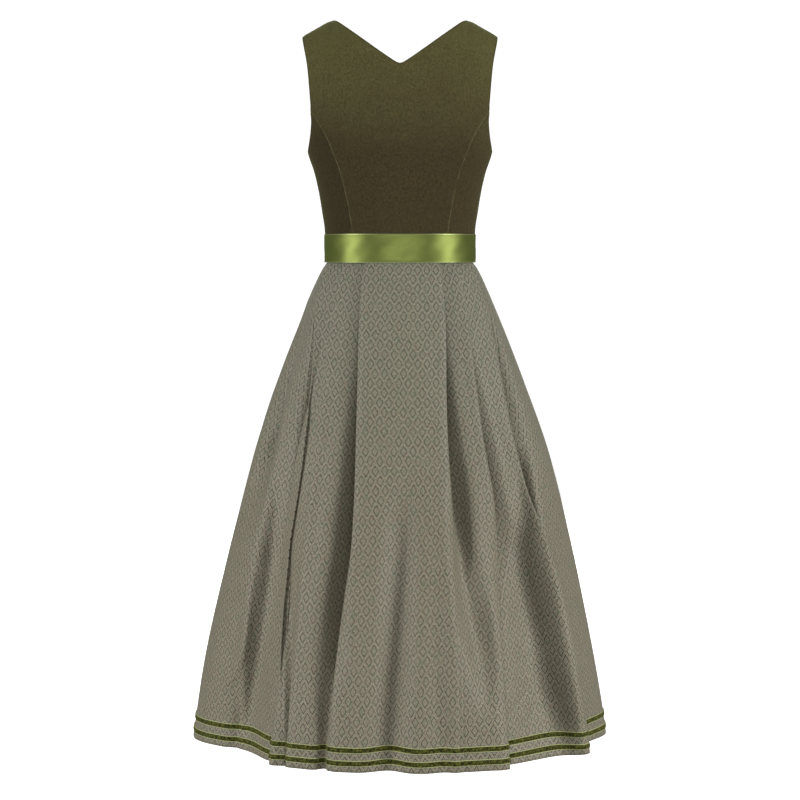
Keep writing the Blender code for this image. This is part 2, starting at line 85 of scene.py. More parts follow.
def makeLamps():
    for lamp in lamps:
        data = bpy.data.lights.new(lamp["name"], "AREA")
        data.shape = "RECTANGLE"
        data.size, data.size_y = lamp["size"]
        data.energy = lamp["watts"]
        data.color = lamp["colour"]
        light = inScene(lamp["name"], data)
        light.location = lamp["at"]
        aim = Vector(lamp["to"]) - Vector(lamp["at"])
        light.rotation_euler = aim.to_track_quat("-Z", "Y").to_euler()
        light.visible_camera = False
        light.visible_glossy = not lamp.get("noShine", False)
    for sun in suns:
        data = bpy.data.lights.new(sun["name"], "SUN")
        data.energy = sun["strength"]
        data.angle = math.radians(sun["softness"])
        data.color = sun["colour"]
        light = inScene(sun["name"], data)
        light.rotation_euler = Vector(sun["from"]).to_track_quat("Z", "Y").to_euler()
    world = bpy.data.worlds.new("paleRoom")
    world.use_nodes = True
    world.node_tree.nodes["Background"].inputs["Color"].default_value = room["colour"]
    world.node_tree.nodes["Background"].inputs["Strength"].default_value = room["strength"]
    bpy.context.scene.world = world


def makePaper():
    # a round floor of pale paper that rolls up into a wall all the way round
    bend, steps, sides = paper["roll"], paper["rollSteps"], paper["sides"]
    run = [(radius, paper["z"]) for radius in (*paper["rings"], paper["radius"] - bend)]
    for step in range(1, steps + 1):
        turn = math.pi / 2 * step / steps
        run.append((paper["radius"] - bend + bend * math.sin(turn),
                    paper["z"] + bend - bend * math.cos(turn)))
    run.append((paper["radius"], paper["wallTop"]))
    points = [(0, 0, paper["z"])]
    for radius, z in run:
        for side in range(sides):
            turn = 2 * math.pi * side / sides
            points.append((radius * math.cos(turn), radius * math.sin(turn), z))
    faces = [(0, 1 + side, 1 + (side + 1) % sides) for side in range(sides)]
    for row in range(len(run) - 1):
        for side in range(sides):
            first, beside = 1 + row * sides + side, 1 + row * sides + (side + 1) % sides
            faces.append((first, first + sides, beside + sides, beside))
    mesh = bpy.data.meshes.new("palePaper")
    mesh.from_pydata(points, [], faces)
    mesh.shade_smooth()
    look = bpy.data.materials.new("palePaper")
    look.use_nodes = True
    shader = look.node_tree.nodes["Principled BSDF"]
    shader.inputs["Base Color"].default_value = paper["colour"]
    shader.inputs["Roughness"].default_value = paper["roughness"]
    shader.inputs["Emission Color"].default_value = (1, 1, 1, 1)
    shader.inputs["Emission Strength"].default_value = paper["glow"]
    mesh.materials.append(look)
    floor = inScene("palePaper", mesh)
    floor.visible_diffuse = False
    floor.visible_glossy = False
    floor.visible_shadow = False


makeCamera()
makeLamps()
makePaper()
print("camera, lamps and paper made")


class Finish:
    # short ways to add shader nodes to one material

    def __init__(self, name):
        self.material = bpy.data.materials.new(name)
        self.material.use_nodes = True
        self.tree = self.material.node_tree
        self.shader = self.tree.nodes["Principled BSDF"]

    def link(self, value, socket):
        if isinstance(value, bpy.types.NodeSocket):
            self.tree.links.new(value, socket)
        else:
            socket.default_value = value

    def maths(self, operation, first, second=0.0, third=0.0, clamp=False):
        node = self.tree.nodes.new("ShaderNodeMath")
        node.operation = operation
        node.use_clamp = clamp
        for value, socket in zip((first, second, third), node.inputs):
            self.link(value, socket)
        return node.outputs[0]

    def near(self, distance, reach):
        # 1 where the distance is nothing, and 0 from the reach on
        return self.maths("SUBTRACT", 1.0, self.maths("DIVIDE", distance, reach, clamp=True))

    def between(self, value, low, high):
        return self.maths("DIVIDE", self.maths("SUBTRACT", value, low), high - low, clamp=True)

    def mix(self, share, first, second, blend="MIX"):
        node = self.tree.nodes.new("ShaderNodeMix")
        node.data_type = "RGBA"
        node.blend_type = blend
        self.link(share, node.inputs["Factor"])
        self.link(first, node.inputs[6])
        self.link(second, node.inputs[7])
        return node.outputs[2]

    def times(self, shade, other):
        return self.mix(1.0, shade, other, "MULTIPLY")

    def ramp(self, value, stops):
        node = self.tree.nodes.new("ShaderNodeValToRGB")
        elements = node.color_ramp.elements
        while len(elements) < len(stops):
            elements.new(0.5)
        for element, (place, shade) in zip(elements, stops):
            element.position = place
            element.color = shade if isinstance(shade, tuple) else (shade, shade, shade, 1)
        self.link(value, node.inputs["Fac"])
        return node.outputs["Color"]

    def noise(self, vector, scale, detail=2.0, roughness=0.5):
        node = self.tree.nodes.new("ShaderNodeTexNoise")
        node.inputs["Scale"].default_value = scale
        node.inputs["Detail"].default_value = detail
        node.inputs["Roughness"].default_value = roughness
        self.link(vector, node.inputs["Vector"])
        return node.outputs["Fac"]

    def stretched(self, vector, scale):
        node = self.tree.nodes.new("ShaderNodeMapping")
        node.inputs["Scale"].default_value = scale
        self.link(vector, node.inputs["Vector"])
        return node.outputs["Vector"]

    def place(self):
        return self.tree.nodes.new("ShaderNodeTexCoord").outputs["Object"]

    def uv(self, name):
        node = self.tree.nodes.new("ShaderNodeUVMap")
        node.uv_map = name
        return node.outputs["UV"]

    def attribute(self, name):
        node = self.tree.nodes.new("ShaderNodeAttribute")
        node.attribute_name = name
        return node.outputs["Fac"]

    def parts(self, vector):
        node = self.tree.nodes.new("ShaderNodeSeparateXYZ")
        self.link(vector, node.inputs[0])
        return node.outputs

    def bump(self, height, strength, distance, under=None):
        node = self.tree.nodes.new("ShaderNodeBump")
        node.inputs["Strength"].default_value = strength
        node.inputs["Distance"].default_value = distance
        self.link(height, node.inputs["Height"])
        if under is not None:
            self.link(under, node.inputs["Normal"])
        return node.outputs["Normal"]

    def done(self, shade, normal, same):
        # colour and relief vary; what is the same all over is set on the shader itself
        self.link(shade, self.shader.inputs["Base Color"])
        self.link(normal, self.shader.inputs["Normal"])
        for name, value in same.items():
            self.shader.inputs[name].default_value = value
        return self.material


weave = {  # a small diamond on a half-drop repeat, in cm
    "repeatWide": 1.52, "repeatTall": 3.16, "diamondWide": 0.70, "diamondTall": 0.55,
    "slip": 0.10, "threads": 30.0, "relief": 0.35, "reliefDepth": 0.0004, "yarnRelief": 0.6,
    "ground": (0.170, 0.163, 0.117, 1), "line": (0.003, 0.005, 0.002, 1),
    "lattice": (0.262, 0.253, 0.186, 1), "inside": (0.234, 0.226, 0.168, 1),
    "knot": (0.145, 0.108, 0.080, 1), "greenTint": (0.098, 0.140, 0.080, 1),
    "pinkTint": (0.200, 0.132, 0.104, 1),
    # from the middle of a diamond (0) by its woven outline (0.5) to the knots between (1)
    "lineAt": [(0.0, 0.16), (0.10, 0.0), (0.408, 0.0), (0.466, 1.0), (0.534, 1.0), (0.592, 0.0),
               (1.0, 0.0)],
    "outsideAt": [(0.0, 0.0), (0.66, 0.0), (0.76, 1.0), (1.0, 1.0)],
    "knotAt": [(0.0, 0.0), (0.72, 0.0), (0.88, 0.6), (1.0, 0.6)],
    # how strongly the slow changes of the yarn show
    "lineStrength": [(0.30, 1.0), (0.50, 0.88), (0.70, 0.62)],
    "greenAt": [(0.32, 0.60), (0.47, 0.0), (1.0, 0.0)],
    "pinkAt": [(0.0, 0.0), (0.53, 0.0), (0.68, 0.50)], "speck": [(0.26, 0.44), (0.74, 1.56)],
    "warmFrom": -0.42, "warmTo": -0.82, "warm": (0.935, 0.885, 0.865, 1),  # towards the hem
    "same": {"Roughness": 0.55, "Sheen Weight": 0.10, "Sheen Roughness": 0.45,
             "Sheen Tint": (0.85, 0.85, 0.75, 1), "Specular IOR Level": 0.3},
}


def jacquardCloth():
    cloth = Finish("diamondJacquard")
    plane = cloth.uv("cloth")
    across, up, _ = cloth.parts(plane)
    wander = cloth.noise(cloth.stretched(plane, (1.7, 1.7, 1.0)), 1.0)
    slip = cloth.maths("MULTIPLY_ADD", wander, weave["slip"], -weave["slip"] / 2)
    wide = cloth.maths("ADD", cloth.maths("DIVIDE", across, weave["repeatWide"]), slip)
    tall = cloth.maths("ADD", cloth.maths("DIVIDE", up, weave["repeatTall"]), slip)
    p = cloth.maths("MULTIPLY", cloth.maths("PINGPONG", wide, 0.5), 2.0)
    q = cloth.maths("MULTIPLY", cloth.maths("PINGPONG", tall, 0.5), 2.0)
    here = cloth.maths("ADD", cloth.maths("DIVIDE", p, weave["diamondWide"]),
                       cloth.maths("DIVIDE", q, weave["diamondTall"]))
    beside = cloth.maths("SUBTRACT", 1 / weave["diamondWide"] + 1 / weave["diamondTall"], here)
    ring = cloth.maths("MULTIPLY", cloth.maths("MINIMUM", here, beside), 0.5)
    lines = cloth.ramp(ring, weave["lineAt"])
    slow = cloth.noise(cloth.stretched(plane, (0.55, 0.42, 1.0)), 0.9, 3.0, 0.6)
    strength = cloth.ramp(slow, weave["lineStrength"])
    bands = cloth.ramp(ring, [(0.0, weave["inside"]), (0.37, weave["inside"]),
                              (0.62, weave["lattice"]), (0.73, weave["lattice"]),
                              (0.84, weave["ground"])])
    apart = cloth.maths("ABSOLUTE", cloth.maths("SUBTRACT", p, q))  # 1 between two diamonds
    knots = cloth.maths("MULTIPLY", cloth.ramp(apart, weave["knotAt"]),
                        cloth.ramp(ring, weave["outsideAt"]))
    shade = cloth.mix(knots, bands, weave["knot"])
    shade = cloth.mix(cloth.maths("MULTIPLY", lines, strength), shade, weave["line"])
    tints = cloth.noise(cloth.stretched(plane, (1.0, 0.72, 1.0)), 1.1, 4.0, 0.75)
    shade = cloth.mix(cloth.ramp(tints, weave["greenAt"]), shade, weave["greenTint"])
    shade = cloth.mix(cloth.ramp(tints, weave["pinkAt"]), shade, weave["pinkTint"])
    grain = cloth.noise(cloth.stretched(plane, (6.4, 4.6, 1.0)), 1.0, 1.0, 0.6)
    shade = cloth.times(shade, cloth.ramp(grain, weave["speck"]))
    low = cloth.between(cloth.parts(cloth.place())[2], weave["warmFrom"], weave["warmTo"])
    shade = cloth.mix(low, shade, cloth.times(shade, weave["warm"]))
    ribs = cloth.maths("PINGPONG", cloth.maths("MULTIPLY", up, weave["threads"] / 2), 0.5)
    warps = cloth.maths("PINGPONG", cloth.maths("MULTIPLY", across, weave["threads"] / 2), 0.5)
    relief = cloth.maths("MULTIPLY_ADD", cloth.maths("MULTIPLY", ribs, warps),
                         weave["yarnRelief"], cloth.maths("SUBTRACT", 1.0, lines))
    return cloth.done(shade, cloth.bump(relief, weave["relief"], weave["reliefDepth"]),
                      weave["same"])


nap = {  # bodice velvet: browner low down, with painted light from above making it greener and lighter towards the shoulders
    "low": (0.052, 0.0405, 0.0188, 1), "high": (0.104, 0.096, 0.036, 1),
    "lowZ": -0.225, "highZ": -0.030, "blotch": 0.16, "fleck": [(0.34, 0.60), (0.66, 1.42)],
    # painted highlight along the seams and just inside the edges, and painted shade in a dark line
    # where the edge turns in, in cm
    "seamSheen": (0.19, 0.18, 0.085, 1), "seamWidth": 0.13,
    "seamBreaks": [(0.35, 0.15), (0.65, 0.72)], "rimWidth": 0.11, "rimShare": 0.45,
    "turnShade": (0.022, 0.019, 0.008, 1), "turnPlace": 0.20, "turnWidth": 0.10,
    "turnShare": 0.6, "pileDepth": 0.0006,
    # painted shade on the side pieces, darkest on the left back one, while the right back one is
    # painted a little lighter
    "turned": {"bodice_side_back_left": 0.76, "bodice_side_back_right": 1.04,
               "bodice_side_front_left": 0.86, "bodice_side_front_right": 0.88},
    "same": {"Roughness": 0.95, "Specular IOR Level": 0.12, "Sheen Weight": 0.30,
             "Sheen Roughness": 0.35, "Sheen Tint": (0.62, 0.66, 0.30, 1)},
}


def bodiceVelvet():
    cloth = Finish("oliveVelvet")
    place = cloth.place()
    lift = cloth.maths("MULTIPLY_ADD", cloth.noise(place, 9.0, 3.0, 0.6), nap["blotch"],
                       -nap["blotch"] / 2)
    height = cloth.maths("ADD", cloth.parts(place)[2], lift)
    # painted light: lighter and greener towards the shoulders, as if lit from above
    shade = cloth.mix(cloth.between(height, nap["lowZ"], nap["highZ"]), nap["low"], nap["high"])
    pile = cloth.noise(place, 900.0, 2.0, 0.6)
    weft = cloth.noise(cloth.stretched(place, (1.0, 1.0, 0.8)), 330.0, 2.0, 0.7)
    both = cloth.maths("MULTIPLY_ADD", pile, 0.5, cloth.maths("MULTIPLY", weft, 0.5))
    shade = cloth.times(shade, cloth.ramp(both, nap["fleck"]))
    # painted shade: each side piece is darkened, or slightly lightened, by its own factor
    shade = cloth.times(shade, cloth.ramp(cloth.attribute("sidePanelShade"), [(0.0, 0.0), (1.0, 1.0)]))
    # painted highlight along the seams, as of laid pile catching the light, broken in places
    breaks = cloth.ramp(cloth.noise(place, 160.0), nap["seamBreaks"])
    seam = cloth.near(cloth.attribute("seamDistance"), nap["seamWidth"])
    shade = cloth.mix(cloth.maths("MULTIPLY", seam, breaks), shade, nap["seamSheen"])
    edge = cloth.attribute("edgeDistance")
    # painted highlight just inside the neck and armhole edges, where they roll
    rim = cloth.near(edge, nap["rimWidth"])
    shade = cloth.mix(cloth.maths("MULTIPLY", rim, nap["rimShare"]), shade, nap["seamSheen"])
    # painted shade: a dark line in the fold where the edge turns in
    off = cloth.maths("ABSOLUTE", cloth.maths("SUBTRACT", edge, nap["turnPlace"]))
    turnedIn = cloth.near(off, nap["turnWidth"])
    shade = cloth.mix(cloth.maths("MULTIPLY", turnedIn, nap["turnShare"]), shade, nap["turnShade"])
    normal = cloth.bump(pile, 0.5, nap["pileDepth"], cloth.bump(weft, 0.35, nap["pileDepth"]))
    return cloth.done(shade, normal, nap["same"])


satinLook = {  # most of its light is a broad green shine, so it darkens as it turns away
    "shade": (0.178, 0.214, 0.056, 1), "deep": (0.148, 0.176, 0.043, 1),
    # the edge colour is a painted highlight along the ribbon's rolled top and bottom edges
    "edge": (0.40, 0.46, 0.22, 1), "edgeSheenWidth": 0.16, "threadRelief": 0.10, "threadDepth": 0.0003,
    "same": {"Metallic": 0.72, "Roughness": 0.36, "Specular IOR Level": 0.5,
             "Specular Tint": (0.80, 0.95, 0.42, 1)},
}


def waistSatin():
    cloth = Finish("greenSatin")
    plane = cloth.uv("cloth")
    streaks = cloth.noise(cloth.stretched(plane, (0.45, 0.8, 1.0)), 1.0, 3.0, 0.6)
    shade = cloth.mix(cloth.ramp(streaks, [(0.3, 0.0), (0.7, 1.0)]), satinLook["deep"],
                      satinLook["shade"])
    # painted highlight along the rolled edges
    edge = cloth.near(cloth.attribute("edgeDistance"), satinLook["edgeSheenWidth"])
    shade = cloth.mix(edge, shade, satinLook["edge"])
    threads = cloth.noise(cloth.stretched(plane, (3.0, 60.0, 1.0)), 1.0)
    return cloth.done(shade, cloth.bump(threads, satinLook["threadRelief"],
                                        satinLook["threadDepth"]), satinLook["same"])


trimLook = {  # crushed pile: short dark and light dashes, with pale woven edges
    "pile": (0.013, 0.015, 0.002, 1), "lit": (0.118, 0.120, 0.021, 1),
    "crush": [(0.46, 0.0), (0.60, 1.0)], "fleck": [(0.3, 0.70), (0.7, 1.35)],
    "edge": (0.42, 0.45, 0.21, 1), "edgeShare": 0.13,
    "same": {"Roughness": 0.9, "Specular IOR Level": 0.15, "Sheen Weight": 0.15,
             "Sheen Tint": (0.7, 0.75, 0.35, 1)},
}


def hemVelvet():
    cloth = Finish("greenVelvetRibbon")
    plane = cloth.uv("cloth")
    crush = cloth.noise(cloth.stretched(plane, (2.4, 2.6, 1.0)), 1.0, 4.0, 0.75)
    shade = cloth.mix(cloth.ramp(crush, trimLook["crush"]), trimLook["pile"], trimLook["lit"])
    up = cloth.parts(plane)[1]
    fromEdge = cloth.maths("MINIMUM", up, cloth.maths("SUBTRACT", 1.0, up))
    edge = cloth.ramp(cloth.maths("DIVIDE", fromEdge, trimLook["edgeShare"]),
                      [(0.0, 1.0), (0.75, 1.0), (1.0, 0.0)])
    shade = cloth.mix(edge, shade, trimLook["edge"])
    pile = cloth.noise(cloth.place(), 1400.0, 2.0, 0.6)
    shade = cloth.times(shade, cloth.ramp(pile, trimLook["fleck"]))
    return cloth.done(shade, cloth.bump(pile, 0.5, 0.0005, cloth.bump(crush, 0.6, 0.001)),
                      trimLook["same"])


jacquard = jacquardCloth()
velvet = bodiceVelvet()
satin = waistSatin()
trimVelvet = hemVelvet()
print("cloths mixed")


pieceNames = {
    "bodice_back": "velvetBackPanel", "bodice_front_right": "velvetFrontRight",
    "bodice_front_left": "velvetFrontLeft", "bodice_side_back_right": "velvetSideBackRight",
    "bodice_side_back_left": "velvetSideBackLeft",
    "bodice_side_front_right": "velvetSideFrontRight",
    "bodice_side_front_left": "velvetSideFrontLeft", "waist_ribbon": "satinWaistRibbon",
    "skirt_back": "pleatedSkirtBack", "skirt_front": "pleatedSkirtFront",
    "hem_ribbon_lower": "lowerHemRibbon", "hem_ribbon_upper": "upperHemRibbon",
}


def standsFor(piece, node):
    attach(piece, "root")
    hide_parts(node)


def through(knots, values, place):
    # a smooth curve through the knots that never swings past them
    order = np.argsort(knots)
    knots = np.asarray(knots, float)[order]
    values = np.asarray(values, float)[order]
    steps = np.diff(knots)
    slopes = np.diff(values) / steps
    inner = np.where(slopes[1:] * slopes[:-1] > 0,
                     2 * slopes[1:] * slopes[:-1] / (slopes[1:] + slopes[:-1] + 1e-12), 0)
    tangents = np.concatenate([[slopes[0]], inner, [slopes[-1]]])
    place = np.clip(place, knots[0], knots[-1])
    i = np.clip(np.searchsorted(knots, place, "right") - 1, 0, len(steps) - 1)
    t = (place - knots[i]) / steps[i]
    return ((2 * t ** 3 - 3 * t ** 2 + 1) * values[i]
            + (t ** 3 - 2 * t ** 2 + t) * steps[i] * tangents[i]
            + (3 * t ** 2 - 2 * t ** 3) * values[i + 1]
            + (t ** 3 - t ** 2) * steps[i] * tangents[i + 1])


def easy(t):
    return t * t * (3 - 2 * t)


def shell(name, points, faces, cloth, thickness, uvs, attributes=None, rounded=0.0):
    # a thin shell from one layer of points (in cm), with its cloth map and point measures
    mesh = bpy.data.meshes.new(name)
    mesh.from_pydata([tuple(point) for point in points * cm], [], faces)
    layer = mesh.uv_layers.new(name="cloth")
    layer.data.foreach_set("uv", np.asarray(uvs, np.float32).ravel())
    for word, values in (attributes or {}).items():
        mesh.attributes.new(word, "FLOAT", "POINT").data.foreach_set("value", values.ravel())
    mesh.materials.append(cloth)
    mesh.shade_smooth()
    piece = inScene(name, mesh)
    wall = piece.modifiers.new("wall", "SOLIDIFY")
    wall.thickness = thickness * cm
    wall.offset = -1
    wall.use_even_offset = False
    if rounded:
        edge = piece.modifiers.new("roundedEdge", "BEVEL")
        edge.width = rounded * cm
        edge.segments = 3
        edge.limit_method = "ANGLE"
        edge.angle_limit = math.radians(50)
    return piece


def gridFaces(rows, columns, closed=False):
    # columns turn from the back towards +X, rows go down, so faces look outwards
    row, column = np.meshgrid(np.arange(rows - 1), np.arange(columns if closed else columns - 1),
                              indexing="ij")
    beside = (column + 1) % columns
    return np.stack([(row + 1) * columns + column, (row + 1) * columns + beside,
                     row * columns + beside, row * columns + column], axis=-1).reshape(-1, 4)


sewing = {  # cm
    "spacing": 0.36, "length": 0.25, "thickness": 0.05, "inset": 0.28, "lift": 0.012, "seed": 11,
    "beadSides": 6, "beadRings": 4, "least": (0.82, 0.85, 0.85), "most": (1.10, 1.15, 1.15),
    "colours": {"oliveThread": (0.072, 0.062, 0.026, 1), "greenThread": (0.20, 0.24, 0.08, 1),
                "darkOliveThread": (0.050, 0.058, 0.018, 1)},
}
threads = {}


def stitchTree():
    # small stitches strung along the edges of a mesh
    tree = bpy.data.node_groups.new("stitchRow", "GeometryNodeTree")
    for name, kind in (("Geometry", "Geometry"), ("Spacing", "Float"), ("Length", "Float"),
                       ("Thickness", "Float"), ("Seed", "Int"), ("Thread", "Material")):
        tree.interface.new_socket(name, in_out="INPUT", socket_type="NodeSocket" + kind)
    tree.interface.new_socket("Geometry", in_out="OUTPUT", socket_type="NodeSocketGeometry")
    start = tree.nodes.new("NodeGroupInput")
    end = tree.nodes.new("NodeGroupOutput")
    curve = tree.nodes.new("GeometryNodeMeshToCurve")
    places = tree.nodes.new("GeometryNodeCurveToPoints")
    places.mode = "LENGTH"
    bead = tree.nodes.new("GeometryNodeMeshUVSphere")
    bead.inputs["Segments"].default_value = sewing["beadSides"]
    bead.inputs["Rings"].default_value = sewing["beadRings"]
    bead.inputs["Radius"].default_value = 0.5
    turn = tree.nodes.new("FunctionNodeAlignRotationToVector")
    turn.axis = "X"
    vary = tree.nodes.new("FunctionNodeRandomValue")
    vary.data_type = "FLOAT_VECTOR"
    vary.inputs[0].default_value = sewing["least"]
    vary.inputs[1].default_value = sewing["most"]
    size = tree.nodes.new("ShaderNodeCombineXYZ")
    scale = tree.nodes.new("ShaderNodeVectorMath")
    scale.operation = "MULTIPLY"
    sewn = tree.nodes.new("GeometryNodeInstanceOnPoints")
    real = tree.nodes.new("GeometryNodeRealizeInstances")
    paint = tree.nodes.new("GeometryNodeSetMaterial")
    for source, output, target, socket in (
            (start, "Geometry", curve, "Mesh"), (curve, "Curve", places, "Curve"),
            (start, "Spacing", places, "Length"), (places, "Points", sewn, "Points"),
            (places, "Tangent", turn, "Vector"), (turn, "Rotation", sewn, "Rotation"),
            (bead, "Mesh", sewn, "Instance"), (start, "Length", size, "X"),
            (start, "Thickness", size, "Y"), (start, "Thickness", size, "Z"),
            (start, "Seed", vary, "Seed"), (size, "Vector", scale, 0), (vary, 0, scale, 1),
            (scale, "Vector", sewn, "Scale"), (sewn, "Instances", real, "Geometry"),
            (real, "Geometry", paint, "Geometry"), (start, "Thread", paint, "Material"),
            (paint, "Geometry", end, "Geometry")):
        tree.links.new(source.outputs[output], target.inputs[socket])
    return tree


def threadLook(name):
    # twisted thread: uneven along its length, with a soft shine
    if name not in threads:
        thread = Finish(name)
        twist = thread.noise(thread.place(), 1500.0, 2.0, 0.6)
        shade = thread.times(sewing["colours"][name], thread.ramp(twist, [(0.3, 0.6), (0.7, 1.4)]))
        threads[name] = thread.done(shade, thread.bump(twist, 0.6, 0.0002),
                                    {"Roughness": 0.62, "Sheen Weight": 0.15})
    return threads[name]


sewTree = stitchTree()


def sewRows(node, lines, thread, closed=False):
    # each line is a run of points in cm just off the cloth
    name = pieceNames[node] + "Stitches"
    points, edges = [], []
    for line in lines:
        first = len(points)
        points += [tuple(point) for point in np.asarray(line) * cm]
        edges += [(i, i + 1) for i in range(first, len(points) - 1)]
        if closed:
            edges.append((len(points) - 1, first))
    path = bpy.data.meshes.new(name + "Path")
    path.from_pydata(points, edges, [])
    guide = inScene(name + "Path", path)
    rule = guide.modifiers.new("stitchRow", "NODES")
    rule.node_group = sewTree
    values = {"Spacing": sewing["spacing"] * cm, "Length": sewing["length"] * cm,
              "Thickness": sewing["thickness"] * cm, "Seed": sewing["seed"],
              "Thread": threadLook(thread)}
    for socket in sewTree.interface.items_tree:
        if socket.in_out == "INPUT" and socket.name in values:
            rule[socket.identifier] = values[socket.name]
    graph = bpy.context.evaluated_depsgraph_get()
    mesh = bpy.data.meshes.new_from_object(guide.evaluated_get(graph), depsgraph=graph)
    mesh.shade_smooth()
    bpy.data.objects.remove(guide)
    bpy.data.meshes.remove(path)
    standsFor(inScene(name, mesh), node)


def inFromEdge(grid, edge, first, last):
    # a line set in from the top row, or from the first or last column, down to one row
    if edge == "top":
        strips = grid[:, first:last + 1].transpose(1, 0, 2)
    else:
        strips = grid[2:last, ::(1 if first == 0 else -1)]
    line = []
    for strip in strips:
        travel = np.concatenate([[0], np.cumsum(np.linalg.norm(np.diff(strip, axis=0), axis=1))])
        line.append([np.interp(sewing["inset"], travel, strip[:, axis]) for axis in range(3)])
    line = np.array(line)
    away = line * np.array([1, 1, 0])
    return line + away / np.linalg.norm(away, axis=1, keepdims=True) * sewing["lift"]


skirt = {  # cm; shares of the height count down from the waist
    "topZ": -38.03, "hemZ": -119.7, "hemBand": 0.948, "panelColumn": 3.6,
    "foldRoll": (0.22, 0.4, 0.55, 0.65), "rollLimit": 2.6, "undercut": 0.3,
    "thickness": 0.1, "foldSteps": 3, "panelSteps": 8, "flat": (1.19, 0.835), "area": 0.815,
    # rows close together at the waist and above the hem
    "waistRows": (0, 0.009, 0.018, 0.0236, 0.0262, 0.0280, 0.0305),
    "rowRuns": ((0.12, 12), (0.86, 62), (1.0, 24)),
    "weaveShift": 3.7, "sideFade": 6.0,
}
ovals = [  # height, half width and half depth
    (-38.0, 12.3, 9.6), (-40.05, 12.3, 9.6), (-40.3, 12.62, 9.85), (-40.7, 12.98, 10.1),
    (-41.6, 13.5, 10.55), (-46.6, 15.7, 12.45), (-56.6, 19.5, 15.6), (-66.7, 22.95, 18.4),
    (-76.8, 25.9, 20.9), (-93.0, 30.3, 24.5), (-106.0, 32.9, 26.8), (-120.0, 35.0, 28.4),
]
